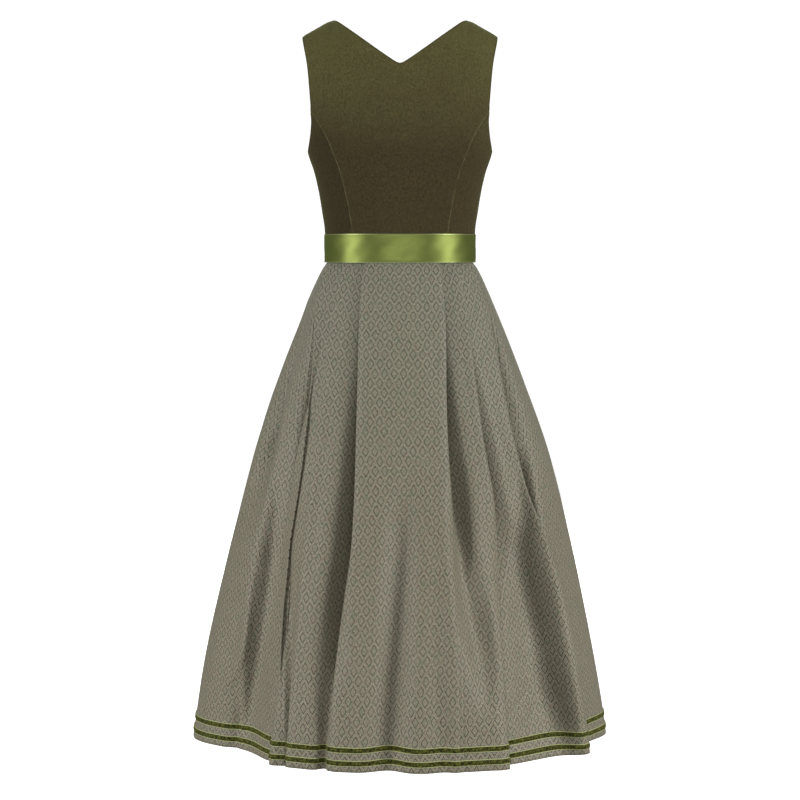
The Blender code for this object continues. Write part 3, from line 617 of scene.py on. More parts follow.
pleats = [  # in order round the skirt from the left side by the back; each row of numbers is
    # evenly spaced from the waist to the hem band
    {"name": "backLeftOuter", "opens": -1,
     "angle": (-72, -62.7, -50.1, -44.5, -41.8, -40.8, -40.5, -38.9, -37.8, -37.0, -36.8),
     "lap": (3.2, 1.8, 1.4, 1.0, 0.9, 0.7, 0.5, 0.5, 0.6, 0.7, 0.9),
     "width": (0.5, 0.9, 1.2, 1.8, 2.2, 2.2, 1.2, 0.8, 0.8, 0.8, 0.7),
     "depth": (0.95, 1.3, 1.8, 2.4, 3.0, 3.1, 1.8, 1.3, 1.6, 2.3, 3.0),
     "out": (0, 0, 0, -0.15, -0.3, -0.4, -0.4, -0.3, -0.2, -0.1, 0.1),
     "sink": (-0.45, -0.5, -0.5, -0.6, -0.7, -0.7, -0.7, -0.8, -1.0, -1.5, -2.1)},
    {"name": "backLeftMiddle", "opens": -1,
     "angle": (-50, -45.0, -40.0, -37.2, -35.7, -34.8, -34.2, -33.2, -32.4, -32.0, -31.7),
     "lap": (3.2, 1.5, 0.3, -0.6, -1.3, -1.8, -2.0, -1.7, -0.9, -0.2, 0.3),
     "width": (0.5, 0.8, 1.2, 2.2, 3.3, 4.0, 4.2, 3.8, 2.8, 1.6, 0.8),
     "depth": (0.95, 0.6, 0.4, 0.45, 0.55, 0.6, 0.7, 1.2, 1.7, 1.3, 0.9),
     "out": (0, 0, 0, -0.05, -0.1, -0.15, -0.2, -0.2, -0.25, -0.3, -0.3),
     "sink": (-0.45, -0.4, -0.4, -0.4, -0.5, -0.6, -0.7, -0.8, -0.8, -0.6, -0.6)},
    {"name": "backLeftInner", "opens": -1,
     "angle": (-28, -25.0, -21.7, -19.2, -17.5, -16.4, -16.0, -16.9, -18.0, -18.8, -19.2),
     "lap": (4.4, 2.6, 1.6, 1.0, 0.1, -0.5), "width": (0.5, 1.4, 3.2, 4.8, 4.6, 2.4),
     "depth": (0.7, 1.8, 3.2, 5.0, 3.0, 1.4), "out": (0, 0, 0, 0, 0, 0),
     "sink": (-0.45, -0.45, -0.4, -0.3, -0.3, -0.2)},
    {"name": "backRightInner", "opens": 1, "joined": 0.46,
     "angle": (32, 28.0, 24.2, 21.0, 19.2, 18.4, 17.8, 17.1, 16.3, 15.9, 15.5),
     "lap": (4.6, 3.4, 2.4, 1.4, 0.4, -0.4, -0.6, -0.6, -0.6, -0.6, -0.6),
     "width": (0.5, 0.8, 1.4, 2.2, 3.3, 4.0, 3.8, 2.6, 2.0, 1.8, 1.8),
     "depth": (0.7, 1.5, 2.2, 2.6, 2.8, 2.8, 2.0, 0.8, 0.4, 0.3, 0.3),
     "out": (0, 0, 0, 0, 0, 0.1, 0.3, 0.6, 0.8, 0.8, 0.6),
     "sink": (-0.45, -0.5, -0.5, -0.5, -0.5, -0.3, -0.1, 0.2, 0.4, 0.5, 0.4)},
    {"name": "backRightMiddle", "opens": 1,
     "angle": (47.7, 44.1, 39.3, 36.5, 35.3, 35.6, 34.0, 31.9, 30.8, 30.0, 29.3),
     "lap": (1.9, 1.4, 1.0, 0.6, 0.4, 0.3, 0.3, 0.3, 0.4, 0.6, 0.8),
     "width": (0.5, 0.6, 1.0, 2.0, 3.2, 3.9, 3.4, 2.2, 1.2, 0.8, 0.8),
     "depth": (0.95, 0.8, 0.9, 1.5, 2.6, 3.6, 2.9, 1.5, 0.8, 1.5, 2.9),
     "out": (0, 0, 0, 0, 0, 0, 0, 0.1, 0.2, 0.5, 0.8),
     "sink": (-0.45, -0.4, -0.4, -0.7, -1.1, -1.0, -0.7, -0.4, -0.3, -1.0, -1.9)},
    {"name": "backRightOuter", "opens": 1,
     "angle": (71, 65.0, 58.4, 54.2, 52.8, 53.6, 57.6, 59.8, 61.0, 61.4, 61.4),
     "lap": (3.4, 2.2, 1.4, 0.9, 0.6, 0.5, 0.6, 0.8, 0.8, 1.0, 1.2),
     "width": (0.5, 1.2, 2.2, 3.4, 4.0, 2.6, 1.4, 1.0, 0.9, 0.8, 0.7),
     "depth": (0.95, 1.6, 2.7, 3.1, 2.3, 1.7, 1.9, 2.8, 3.4, 4.2, 5.0),
     "out": (0, 0, 0, -0.2, -0.3, -0.1, 0.1, 0.3, 0.4, 0.5, 0.5),
     "sink": (-0.45, -0.4, -0.3, -0.2, -0.2, -0.6, -1.6, -2.5, -3.2, -3.7, -4.0)},
    {"name": "frontRightOuter", "opens": -1, "angle": (109, 127, 124, 126),
     "lap": (3.2, 1.3, 0.7, 0.9), "width": (0.5, 1.3, 1.3, 0.7), "depth": (0.95, 1.7, 2.8, 4.4),
     "out": (0, 0, 0, 0.2), "sink": (-0.45, -0.5, -1.9, -3.4)},
    {"name": "frontRightMiddle", "opens": -1, "angle": (130, 145, 146, 148),
     "lap": (2.8, 1.0, 0.6, 0.5), "width": (0.5, 1.4, 1.6, 0.9), "depth": (0.95, 1.5, 1.6, 1.6),
     "out": (0, 0, -0.1, -0.3), "sink": (-0.45, -0.4, -0.5, -0.7)},
    {"name": "frontRightInner", "opens": -1, "angle": (150, 160.5, 159, 157),
     "lap": (4.4, 2.1, 0.9, 0.5), "width": (0.5, 2.4, 3.0, 1.2), "depth": (0.7, 2.9, 3.3, 1.8),
     "out": (0, 0, 0.1, 0.4), "sink": (-0.45, -0.4, -0.8, -0.8)},
    {"name": "frontLeftInner", "opens": 1, "angle": (209, 199, 201.5, 202),
     "lap": (4.4, 2.2, 0.9, 0.6), "width": (0.5, 2.5, 2.8, 1.0), "depth": (0.7, 2.8, 3.4, 2.0),
     "out": (0, 0, 0.1, 0.3), "sink": (-0.45, -0.5, -0.8, -0.9)},
    {"name": "frontLeftMiddle", "opens": 1, "angle": (230, 214.5, 214, 212),
     "lap": (2.8, 1.0, 0.6, 0.5), "width": (0.5, 1.3, 1.6, 1.0), "depth": (0.95, 1.4, 1.5, 1.6),
     "out": (0, 0, -0.2, -0.3), "sink": (-0.45, -0.4, -0.5, -0.6)},
    {"name": "frontLeftOuter", "opens": 1, "angle": (251, 233, 237, 236),
     "lap": (3.2, 1.3, 0.7, 0.9), "width": (0.5, 1.3, 1.2, 0.7), "depth": (0.95, 1.7, 2.6, 4.2),
     "out": (0, 0, 0, 0.1), "sink": (-0.45, -0.5, -1.7, -3.2)},
]
swells = [  # soft valleys and crests: angle, rise and half reach in cm
    {"name": "leftSideCrest", "angle": (-90, -84, -82, -90), "rise": (0, 0.5, 0.9, 2.9),
     "reach": 10.0},
    {"name": "rightSideCrest", "angle": (90, 86, 88, 94), "rise": (0, 0.5, 1.8, 3.8),
     "reach": 9.0},
    {"name": "leftEdgeHollow", "angle": (-84, -83, -80, -76, -71, -67, -65, -65, -65, -65, -65),
     "rise": (0, 0, -1.4, -2.8, -3.0, -1.4, -0.3, 0, 0, 0, 0), "reach": 2.4},
    {"name": "leftHemHollow", "angle": (-62, -62, -62, -62), "rise": (0, 0, -0.2, -1.7),
     "reach": 5.5},
    {"name": "frontRightValley", "angle": (120, 137, 135, 137), "rise": (0, -0.4, -1.7, -1.9),
     "reach": 3.0},
    {"name": "frontMiddleValley", "angle": (181, 180, 179, 181), "rise": (0, -0.2, -0.8, -0.9),
     "reach": 3.0},
    {"name": "frontLeftValley", "angle": (240, 224, 225, 224), "rise": (0, -0.4, -1.6, -1.8),
     "reach": 3.0},
]
creases = [  # soft troughs and ridges along a run of (x, z, rise); reaches to its left and right
    {"name": "backMiddleTrough", "side": -1, "reach": (3.0, 2.5),
     "run": ((1.3, -69, 0), (0.9, -77, -1.4), (0.4, -86.8, -2.5), (0.0, -93, -2.8),
             (-0.4, -98.7, -3.0), (-0.9, -106, -3.2), (-1.4, -114.5, -2.8), (-1.8, -121, -1.9))},
    {"name": "backMiddleSlope", "side": -1, "reach": (2.0, 1.8),
     "run": ((4.8, -70, 0), (5.2, -80, -0.5), (5.5, -88, -0.8), (5.8, -99, -1.0),
             (6.4, -110, -1.0), (7.2, -121, -0.7))},
    {"name": "backLeftTrough", "side": -1, "reach": (2.3, 3.0),
     "run": ((-17.6, -68, 0), (-18.8, -76, -1.5), (-19.5, -82, -2.8), (-20.2, -88, -3.8),
             (-21.2, -95.9, -3.8), (-22.3, -103.1, -4.1), (-23.4, -109.4, -4.6),
             (-24.4, -115.8, -4.2), (-25.2, -120, -3.2))},
    {"name": "backRightInnerValley", "side": -1, "reach": (1.7, 3.0),
     "run": ((8.6, -72, 0), (8.7, -77.7, -1.0), (9.2, -82.4, -1.8), (10.0, -87.1, -2.4),
             (10.9, -92.5, -2.8), (11.4, -97.2, -3.0), (12.4, -101.1, -2.5), (13.3, -105.5, -1.5),
             (14.2, -111, 0))},
    {"name": "backRightHollow", "side": -1, "reach": (2.0, 2.2),
     "run": ((18.4, -70, 0), (19.3, -75.5, -1.4), (20.3, -80.5, -0.9), (21.2, -85, 0))},
    {"name": "backLeftSlope", "side": -1, "reach": (1.3, 1.1),
     "run": ((-9.2, -87, 0), (-9.4, -94, -0.7), (-9.6, -100, -0.7), (-9.9, -107, 0))},
    {"name": "backLeftCrest", "side": -1, "reach": (0.9, 0.8),
     "run": ((-23.3, -86, 0), (-24.6, -94.6, 0.5), (-25.1, -100.1, 0.7), (-25.8, -104.1, 0.7),
             (-27.3, -107.5, 0.5), (-30.0, -111.4, 0))},
    {"name": "backRightCrest", "side": -1, "reach": (2.3, 2.2),
     "run": ((21.4, -76, 0), (22.8, -81.6, 0.9), (24.5, -87.6, 1.9), (25.8, -93.2, 2.4),
             (26.8, -98.7, 2.6), (27.9, -104.5, 2.5), (28.8, -109.4, 2.1), (30.0, -118, 1.0))},
    {"name": "backRightTrough", "side": -1, "reach": (4.6, 3.8),
     "run": ((15.8, -68, 0), (16.8, -74, -0.7), (17.3, -79, -1.6), (18.2, -87.1, -4.2),
             (19.3, -92.7, -4.5), (20.4, -97.5, -4.2), (21.1, -102.3, -3.7),
             (22.2, -108.8, -3.5), (23.8, -114.0, -3.0), (26.0, -121, -2.0))},
    {"name": "pressedLeft", "side": -1, "reach": (0.45, 0.5),
     "run": ((-7.7, -84, 0), (-7.7, -92, 0.22), (-7.7, -99.3, 0.26), (-7.4, -108.5, 0.22),
             (-7.0, -119, 0))},
    {"name": "hemWrinkleA", "side": -1, "reach": (0.5, 0.6),
     "run": ((16.6, -113.0, 0), (18.2, -111.4, -0.32), (20.6, -108.4, 0))},
    {"name": "hemWrinkleB", "side": -1, "reach": (0.5, 0.6),
     "run": ((19.4, -114.2, 0), (21.0, -113.0, -0.26), (22.6, -110.6, 0))},
    {"name": "frontTrough", "side": 1, "reach": (1.7, 1.5),
     "run": ((-5.0, -66, 0), (-5.8, -80, -0.3), (-6.6, -98, -0.5), (-7.4, -118, -0.3))},
    {"name": "frontCrest", "side": 1, "reach": (1.5, 1.6),
     "run": ((6.0, -74, 0), (6.6, -86, 0.3), (7.2, -104, 0.35), (7.6, -118, 0.2))},
    {"name": "frontRightCrest", "side": 1, "reach": (1.2, 1.2),
     "run": ((20.5, -88, 0), (22.0, -101, 0.5), (23.0, -116, 0))},
    {"name": "frontLeftTrough", "side": 1, "reach": (1.2, 1.4),
     "run": ((-20.0, -82, 0), (-21.6, -99, -0.7), (-22.6, -117, 0))},
    {"name": "frontHemWrinkle", "side": 1, "reach": (0.6, 0.6),
     "run": ((14.6, -112, 0), (16.4, -110.3, -0.3), (18.6, -108, 0))},
]


def atStation(values, shape):
    return through(np.linspace(0, 1, len(values)), values, shape)


def ovalAt(down):
    z = skirt["topZ"] + (skirt["hemZ"] - skirt["topZ"]) * down
    heights = [row[0] for row in ovals]
    return (float(through(heights, [row[1] for row in ovals], z)),
            float(through(heights, [row[2] for row in ovals], z)))


def strideAt(angle, size):
    return math.hypot(size[0] * math.cos(angle), size[1] * math.sin(angle))


def pleatCorners(pleat, shape):
    # the pleat's section, as in the pattern: out over the edge, back under, turn and out again
    lap, width, depth, out, sink = (float(atStation(pleat[word], shape))
                                    for word in ("lap", "width", "depth", "out", "sink"))
    roll = min(float(atStation(skirt["foldRoll"], shape)), depth / skirt["rollLimit"])
    floor = out - depth
    swing = max(-1.0, min(lap / roll, 1.0))
    near = -skirt["undercut"] * roll * swing
    far = -lap - near
    section = [(-roll, out), (0, out - 0.5 * roll)]
    for share in (0, 1 / 3, 2 / 3, 1):
        section.append((near + (far - near) * share,
                        out - roll + (floor + 2 * roll - out) * share))
    section.append((far - 0.5 * roll * swing, floor + 0.5 * roll))
    start = far + 0.5 * roll * (1 - swing)
    for share in (0, 0.3, 0.6, 0.85, 1):
        section.append((start + (width - start) * share, floor + (sink - floor) * easy(share)))
    edge = math.radians(float(atStation(pleat["angle"], shape)))
    stride = strideAt(edge, ovalAt(shape))
    corners = [(edge + pleat["opens"] * along / stride, height) for along, height in section]
    return corners if pleat["opens"] > 0 else corners[::-1]


def panelEnds(shape):
    corners = [pleatCorners(pleat, shape) for pleat in pleats]
    firsts = [found[0] for found in corners]
    nexts = firsts[1:] + [(firsts[0][0] + 2 * math.pi, firsts[0][1])]
    return corners, [found[-1] for found in corners], nexts


def planSkirt():
    # columns of each panel, where the side seams fall, and what each step belongs to
    _, starts, ends = panelEnds(1.0)
    panels = []
    for (start, _), (end, _) in zip(starts, ends):
        stride = strideAt((start + end) / 2, ovalAt(1.0))
        columns = max(2, round((end - start) * stride / skirt["panelColumn"]))
        seams = [angle for angle in (math.pi / 2, 3 * math.pi / 2) if start < angle < end]
        before = max(1, round(columns * (seams[0] - start) / (end - start))) if seams else 0
        panels.append({"columns": columns, "seam": seams[0] if seams else None, "before": before})
    return panels


def panelAngles(start, end, panel):
    if panel["seam"] is None:
        return [start + (end - start) * i / panel["columns"] for i in range(1, panel["columns"])]
    seam, before = panel["seam"], panel["before"]
    after = panel["columns"] - before
    return ([start + (seam - start) * i / before for i in range(1, before + 1)]
            + [seam + (end - seam) * i / after for i in range(1, after)])


def skirtKnots(down, panels):
    # the pattern's own points at one height, in plan
    shape = min(down / skirt["hemBand"], 1.0)
    corners, starts, ends = panelEnds(shape)
    knots = []
    for found, start, end, panel in zip(corners, starts, ends, panels):
        knots += found
        for angle in panelAngles(start[0], end[0], panel):
            share = (angle - start[0]) / (end[0] - start[0])
            knots.append((angle, start[1] + (end[1] - start[1]) * easy(share)))
    angle, height = np.array(knots).T
    size = ovalAt(down)
    swellSize = ovalAt(shape)
    stride = np.hypot(swellSize[0] * np.cos(angle), swellSize[1] * np.sin(angle))
    for swell in swells:
        away = angle - math.radians(float(atStation(swell["angle"], shape)))
        away = (away + math.pi) % (2 * math.pi) - math.pi
        height = height + float(atStation(swell["rise"], shape)) * np.exp(
            -(away * stride / swell["reach"]) ** 2)
    outward = np.stack([np.sin(angle) / size[0], -np.cos(angle) / size[1]], axis=1)
    outward /= np.linalg.norm(outward, axis=1, keepdims=True)
    place = np.stack([size[0] * np.sin(angle), -size[1] * np.cos(angle)], axis=1)
    return place + outward * height[:, None]


def planSteps(panels):
    # for each fine column: the knot it follows and the share of the way to the next one
    corners = len(pleatCorners(pleats[0], 0.5))
    knot, share, panelOf, seamAt = [], [], [], []
    index = 0
    for number, panel in enumerate(panels):
        for place in range(corners - 1 + panel["columns"]):
            steps = skirt["foldSteps"] if place < corners - 1 else skirt["panelSteps"]
            if panel["seam"] is not None and place == corners - 1 + panel["before"]:
                seamAt.append(len(knot))
            for step in range(steps):
                knot.append(index + place)
                share.append(step / steps)
                # the cloth of one panel ends at the bottom of the fold beyond it
                turn = corners - 6 if pleats[number]["opens"] > 0 else 5
                panelOf.append(number if place + step / steps >= turn else number - 1)
        index += corners - 1 + panel["columns"]
    return (np.array(knot), np.array(share), np.array(panelOf) % len(panels), seamAt)


def smoothRing(knots, knot, share):
    # a rounded line through the knots of a closed ring
    ahead = np.roll(knots, -1, axis=0)
    behind = np.roll(knots, 1, axis=0)
    gap = np.linalg.norm(ahead - knots, axis=1, keepdims=True) + 1e-9
    gapBefore = np.roll(gap, 1, axis=0)
    tangent = (((ahead - knots) / gap * gapBefore + (knots - behind) / gapBefore * gap)
               / (gap + gapBefore))
    after = (knot + 1) % len(knots)
    t = share[:, None]
    length = gap[knot]
    return ((2 * t ** 3 - 3 * t ** 2 + 1) * knots[knot]
            + (t ** 3 - 2 * t ** 2 + t) * length * tangent[knot]
            + (3 * t ** 2 - 2 * t ** 3) * knots[after]
            + (t ** 3 - t ** 2) * length * tangent[after])


def creaseRise(points):
    # how far each point moves out or in, by its distance from each run seen from behind or before
    flat = points[..., [0, 2]].reshape(-1, 2)
    move = np.zeros(len(flat))
    for crease in creases:
        run = np.array(crease["run"], float)
        starts, steps = run[:-1, [0, 1]], np.diff(run[:, [0, 1]], axis=0)
        lengths = np.linalg.norm(steps, axis=1)
        travel = np.concatenate([[0], np.cumsum(lengths)])
        near = np.full(len(flat), 1e9)
        along = np.zeros(len(flat))
        hand = np.zeros(len(flat))
        for start, step, length, gone in zip(starts, steps, lengths, travel):
            offset = flat - start
            share = np.clip(offset @ step / length ** 2, 0, 1)
            gap = np.linalg.norm(offset - share[:, None] * step, axis=1)
            side = step[0] * offset[:, 1] - step[1] * offset[:, 0]
            closer = gap < near
            near = np.where(closer, gap, near)
            along = np.where(closer, gone + share * length, along)
            hand = np.where(closer, side, hand)
        reach = np.where(hand < 0, crease["reach"][0], crease["reach"][1])
        rise = through(travel, run[:, 2], along) * np.exp(-(near / reach) ** 2)
        facing = easy(np.clip(points[..., 1].ravel() * crease["side"] / skirt["sideFade"], 0, 1))
        move += crease["side"] * rise * facing
    return move.reshape(points.shape[:-1])


ease = {  # slight unevenness all over: size in cm; how often round, slant and start of each wave
    "size": 0.10, "from": 0.25,
    "waves": ((7, 1.3, 0.4), (11, -1.9, 1.7), (17, 2.6, 3.1), (26, -3.4, 5.0)),
}


def easeRise(angle, down):
    rise = np.zeros(np.broadcast(angle, down).shape)
    for waves, slant, start in ease["waves"]:
        rise = rise + np.sin(waves * angle + slant * math.pi * down + start) / len(ease["waves"])
    return rise * ease["size"] * 2 * easy(np.clip(down / ease["from"], 0, 1))


def skirtRows():
    parts = [skirt["waistRows"]]
    for end, count in skirt["rowRuns"]:
        parts.append(np.linspace(parts[-1][-1], end, count)[1:])
    return np.concatenate(parts)


def skirtSurface(rows):
    panels = planSkirt()
    knot, share, panelOf, seamAt = planSteps(panels)
    surface = np.zeros((len(rows), len(knot), 3))
    for number, down in enumerate(rows):
        surface[number, :, :2] = smoothRing(skirtKnots(down, panels), knot, share)
        surface[number, :, 2] = skirt["topZ"] + (skirt["hemZ"] - skirt["topZ"]) * down
    sizes = np.array([ovalAt(down) for down in rows])
    angle = np.arctan2(surface[..., 0] / sizes[:, :1], -surface[..., 1] / sizes[:, 1:])
    outward = np.stack([np.sin(angle) / sizes[:, :1], -np.cos(angle) / sizes[:, 1:]], axis=-1)
    outward /= np.linalg.norm(outward, axis=-1, keepdims=True)
    surface[..., 1] += creaseRise(surface)
    surface[..., :2] += outward * easeRise(angle, rows[:, None])[..., None]
    return surface, panelOf, seamAt, len(panels)


def clothMap(surface, rows, panelOf, panelCount):
    # across: distance round from the middle of each panel, so the weave hangs straight there;
    # up: distance along the cloth from the hem
    steps = np.linalg.norm(np.roll(surface, -1, axis=1) - surface, axis=2)
    travel = np.concatenate([np.zeros((len(surface), 1)), np.cumsum(steps, axis=1)], axis=1)
    across = np.zeros((len(surface), surface.shape[1], 2))
    size = surface.shape[1]
    last = {}
    for number in range(panelCount):
        columns = np.flatnonzero(panelOf == number)
        if columns[-1] - columns[0] >= len(columns):  # this panel passes the ring's start
            columns = np.concatenate([columns[columns > size / 2], columns[columns <= size / 2]])
        middle = columns[len(columns) // 2]
        for end in (0, 1):
            along = travel[:, columns + end] - travel[:, middle][:, None]
            wrapped = np.abs(along) > travel[:, -1:] / 2
            along = np.where(wrapped, along - np.sign(along) * travel[:, -1:], along)
            across[:, columns, end] = along + number * skirt["weaveShift"]
        joined = pleats[number].get("joined")
        if joined is not None:  # the fold has opened, so the weave runs on across it
            shift = across[:, last["column"], 1] - across[:, columns[0], 0]
            shift = np.where(rows < joined, np.interp(joined, rows, shift), shift)
            across[:, columns] += shift[:, None, None]
        last["column"] = columns[-1]
    mean = surface.mean(axis=1)
    radius = np.linalg.norm(surface[..., :2], axis=2).mean(axis=1)
    slant = np.hypot(np.diff(mean[:, 2]), np.diff(radius))
    up = np.concatenate([np.cumsum(slant[::-1])[::-1], [0]])
    return across, up


def makeSkirtPiece(name, surface, across, up, first, last):
    size = surface.shape[1]
    columns = np.arange(first, last + 1) % size
    rows = len(surface)
    points = surface[:, columns].reshape(-1, 3)
    faces = gridFaces(rows, len(columns))
    uvs = np.zeros((rows - 1, len(columns) - 1, 4, 2))
    left, right = across[:, columns[:-1], 0], across[:, columns[:-1], 1]
    for corner, (row, side) in enumerate(((1, left), (1, right), (0, right), (0, left))):
        uvs[:, :, corner, 0] = side[row:rows - 1 + row]
        uvs[:, :, corner, 1] = up[row:rows - 1 + row, None]
    piece = shell(pieceNames[name], points, faces.tolist(), jacquard, skirt["thickness"],
                  uvs.reshape(-1, 2))
    standsFor(piece, name)


rows = skirtRows()
surface, panelOf, seamAt, panelCount = skirtSurface(rows)
across, up = clothMap(surface, rows, panelOf, panelCount)
rightSeam, leftSeam = seamAt
makeSkirtPiece("skirt_back", surface, across, up, leftSeam, rightSeam + surface.shape[1])
makeSkirtPiece("skirt_front", surface, across, up, rightSeam, leftSeam)
print("skirt draped:", surface.shape)


def bandMap(grid, heights):
    # the cloth map of a closed band: distance round its top edge, and a height for each row
    rowCount, columns = grid.shape[:2]
    steps = np.linalg.norm(np.roll(grid[0], -1, axis=0) - grid[0], axis=1)
    travel = np.concatenate([[0], np.cumsum(steps)])
    uvs = np.zeros((rowCount - 1, columns, 4, 2))
    sides = (travel[:-1], travel[1:], travel[1:], travel[:-1])
    for corner, (row, side) in enumerate(zip((1, 1, 0, 0), sides)):
        uvs[:, :, corner, 0] = side[None, :]
        uvs[:, :, corner, 1] = heights[row:rowCount - 1 + row, None]
    return uvs.reshape(-1, 2)


hemTrim = {  # two narrow velvet ribbons above the hem, in cm
    "width": 0.95, "lifts": {"hem_ribbon_lower": 0.9, "hem_ribbon_upper": 2.95},
    "rows": (0, 0.04, 0.10, 0.15, 0.3, 0.5, 0.7, 0.85, 0.90, 0.96, 1.0),
    "rise": (0.02, 0.045, 0.045, 0.10, 0.14, 0.15, 0.14, 0.10, 0.045, 0.045, 0.02),
    "gap": 0.03, "thickness": 0.04, "uneven": 0.25, "unevenWaves": (0.37, 0.11),
    "sewnRows": (3, -4), "flat": (2.4, 0.01),
}


def surfaceNormals(grid):
    along = np.roll(grid, -1, axis=1) - np.roll(grid, 1, axis=1)
    down = np.gradient(grid, axis=0)
    normal = np.cross(along, -down)
    return normal / np.linalg.norm(normal, axis=2, keepdims=True)


def rowAt(surface, rows, down):
    # the skirt's points at any height, between two of its rows
    place = np.interp(down, rows, np.arange(len(rows)))
    low = min(int(place), len(rows) - 2)
    return surface[low] * (low + 1 - place) + surface[low + 1] * (place - low)


def makeHemRibbon(name, lift):
    shares = np.array(hemTrim["rows"])
    height = skirt["topZ"] - skirt["hemZ"]
    downs = [1 - (lift + hemTrim["width"] * (1 - share)) / height for share in shares]
    grid = np.array([rowAt(surface, rows, down) for down in downs])
    normals = surfaceNormals(grid)
    count = np.arange(grid.shape[1])
    first, second = hemTrim["unevenWaves"]
    uneven = 1 + hemTrim["uneven"] * np.sin(count * first) * np.sin(count * second)
    rise = hemTrim["gap"] + np.array(hemTrim["rise"])[:, None] * uneven[None, :]
    raised = grid + normals * rise[..., None]
    faces = gridFaces(len(downs), grid.shape[1], closed=True)
    piece = shell(pieceNames[name], raised.reshape(-1, 3), faces.tolist(), trimVelvet,
                  hemTrim["thickness"], bandMap(grid, 1 - shares))
    standsFor(piece, name)
    lines = [raised[row] + normals[row] * sewing["lift"] for row in hemTrim["sewnRows"]]
    sewRows(name, lines, "darkOliveThread", closed=True)


for name, lift in hemTrim["lifts"].items():
    makeHemRibbon(name, lift)
print("hem ribbons laid")


bodice = {  # cm
    "thickness": 0.2, "rounded": 0.05, "searchSteps": 40, "mapSlant": 0.3,
    "shoulderSeamY": 0.8, "shoulderRoll": 9.0, "neckHalfWidth": 11.1, "shoulderTip": 16.3,
    "shoulderDrop": 2.9, "backNeckDrop": 8.4, "frontNeckDrop": 18.5, "vRound": 0.9,
    "neckSag": 0.2, "corners": (("neckHalfWidth", 0.22, 0.55), ("shoulderTip", 0.16, 0.35)),
    "armpitZ": -21.8, "armholeTurnZ": -15.3, "backTurnSag": 3.0, "frontTurnSag": 8.5,
    "bottomZ": -38.0, "ribbonTopZ": -35.5, "topCrowding": 2.9,
    "bustX": 8.6, "bustZ": -23.0, "bustRise": 1.5, "bustReach": 6.5, "bustSquash": 0.9,
    "ridge": 0.05, "ridgeAt": 0.45, "ridgeReach": 0.3,  # of the allowances beside each seam
    "upperRows": 40, "lowerRows": 44, "neckColumns": 34, "shoulderColumns": 16, "sideColumns": 26,
    "cuts": {"bodice_back": ((0.335, 0.385), 0.099), "bodice_front": ((0.18, 0.39), 0.039),
             "bodice_side_back": ((0.105, 0.235), 0.018),
             "bodice_side_front": ((0.125, 0.235), 0.023)},  # flat size in m, and area in m2
}
sections = [  # height, half width, depth behind and in front, half widths between the armholes
    (-40.5, 12.42, 9.7, 9.7, 0, 0), (-38.0, 12.42, 9.7, 9.7, 0, 0),
    (-35.5, 12.45, 9.8, 9.9, 0, 0), (-31.3, 13.0, 10.2, 10.8, 0, 0),
    (-28.3, 13.5, 10.5, 11.5, 0, 0), (-25.3, 14.2, 10.8, 12.1, 0, 0),
    (-21.8, 15.3, 11.0, 12.3, 15.3, 15.3), (-17.3, 15.8, 11.1, 11.8, 14.5, 13.9),
    (-13.3, 16.2, 11.0, 10.9, 14.75, 13.4), (-8.3, 16.8, 10.4, 9.6, 15.2, 14.0),
    (-2.9, 17.9, 9.2, 8.4, 16.2, 16.2), (0.5, 18.5, 8.4, 7.8, 16.6, 16.6),
]
princessSeam = [  # height, and its angle from the middle of the back and of the front
    (-40.0, 38.5, 30.0), (-35.5, 39.0, 31.0), (-26.3, 43.0, 37.0), (-21.8, 46.5, 41.0),
    (-18.8, 53.0, 48.5), (-16.3, 62.0, 55.0), (-15.3, 66.5, 58.0),
]


def sectionSize(column, z):
    return float(through([row[0] for row in sections], [row[column] for row in sections], z))


def shoulderLine(x):
    slope = bodice["shoulderDrop"] / (bodice["shoulderTip"] - bodice["neckHalfWidth"])
    return -(abs(x) - bodice["neckHalfWidth"]) * slope - cornerDrop(x)


def cornerDrop(x):
    # the shoulder's two corners are rounded
    return sum(drop * math.exp(-((abs(x) - bodice[corner]) / reach) ** 2)
               for corner, drop, reach in bodice["corners"])


def bodyPoint(angle, z, side):
    x = sectionSize(1, z) * math.sin(angle)
    y = side * sectionSize(2 if side < 0 else 3, z) * abs(math.cos(angle))
    if side > 0:
        bust = math.hypot(abs(x) - bodice["bustX"], (z - bodice["bustZ"]) * bodice["bustSquash"])
        y += (bodice["bustRise"] * math.exp(-(bust / bodice["bustReach"]) ** 2)
              * min(1.0, 2 * abs(math.cos(angle))))
    below = max(shoulderLine(x) - z, 0.0) / bodice["shoulderRoll"]
    if below < 1:
        seamY = bodice["shoulderSeamY"]
        y = seamY + (y - seamY) * math.sqrt(1 - (1 - below) ** 2)
    return np.array([x, y, z])


def princessAngle(z, side):
    values = [row[1 if side < 0 else 2] for row in princessSeam]
    return math.radians(float(through([row[0] for row in princessSeam], values, z)))


def middleEdge(z, side):
    if z <= bodice["armholeTurnZ"]:
        return princessAngle(z, side)
    arm = sectionSize(4 if side < 0 else 5, z)
    return math.asin(min(arm / sectionSize(1, z), 1.0))


def middleTop(x, side):
    drop = bodice["backNeckDrop"] if side < 0 else bodice["frontNeckDrop"]
    if abs(x) >= bodice["neckHalfWidth"]:
        return shoulderLine(x)
    away = math.sqrt(x * x + bodice["vRound"] ** 2 * 0.25)  # the V's point is slightly rounded
    share = 1 - min(away / bodice["neckHalfWidth"], 1.0)
    return -drop * share - bodice["neckSag"] * math.sin(math.pi * share) - cornerDrop(x)


def lowerLevels(top):
    span = bodice["ribbonTopZ"] - top
    count = bodice["lowerRows"]
    return [top + span * row / count for row in range(count + 1)] + [bodice["bottomZ"]]


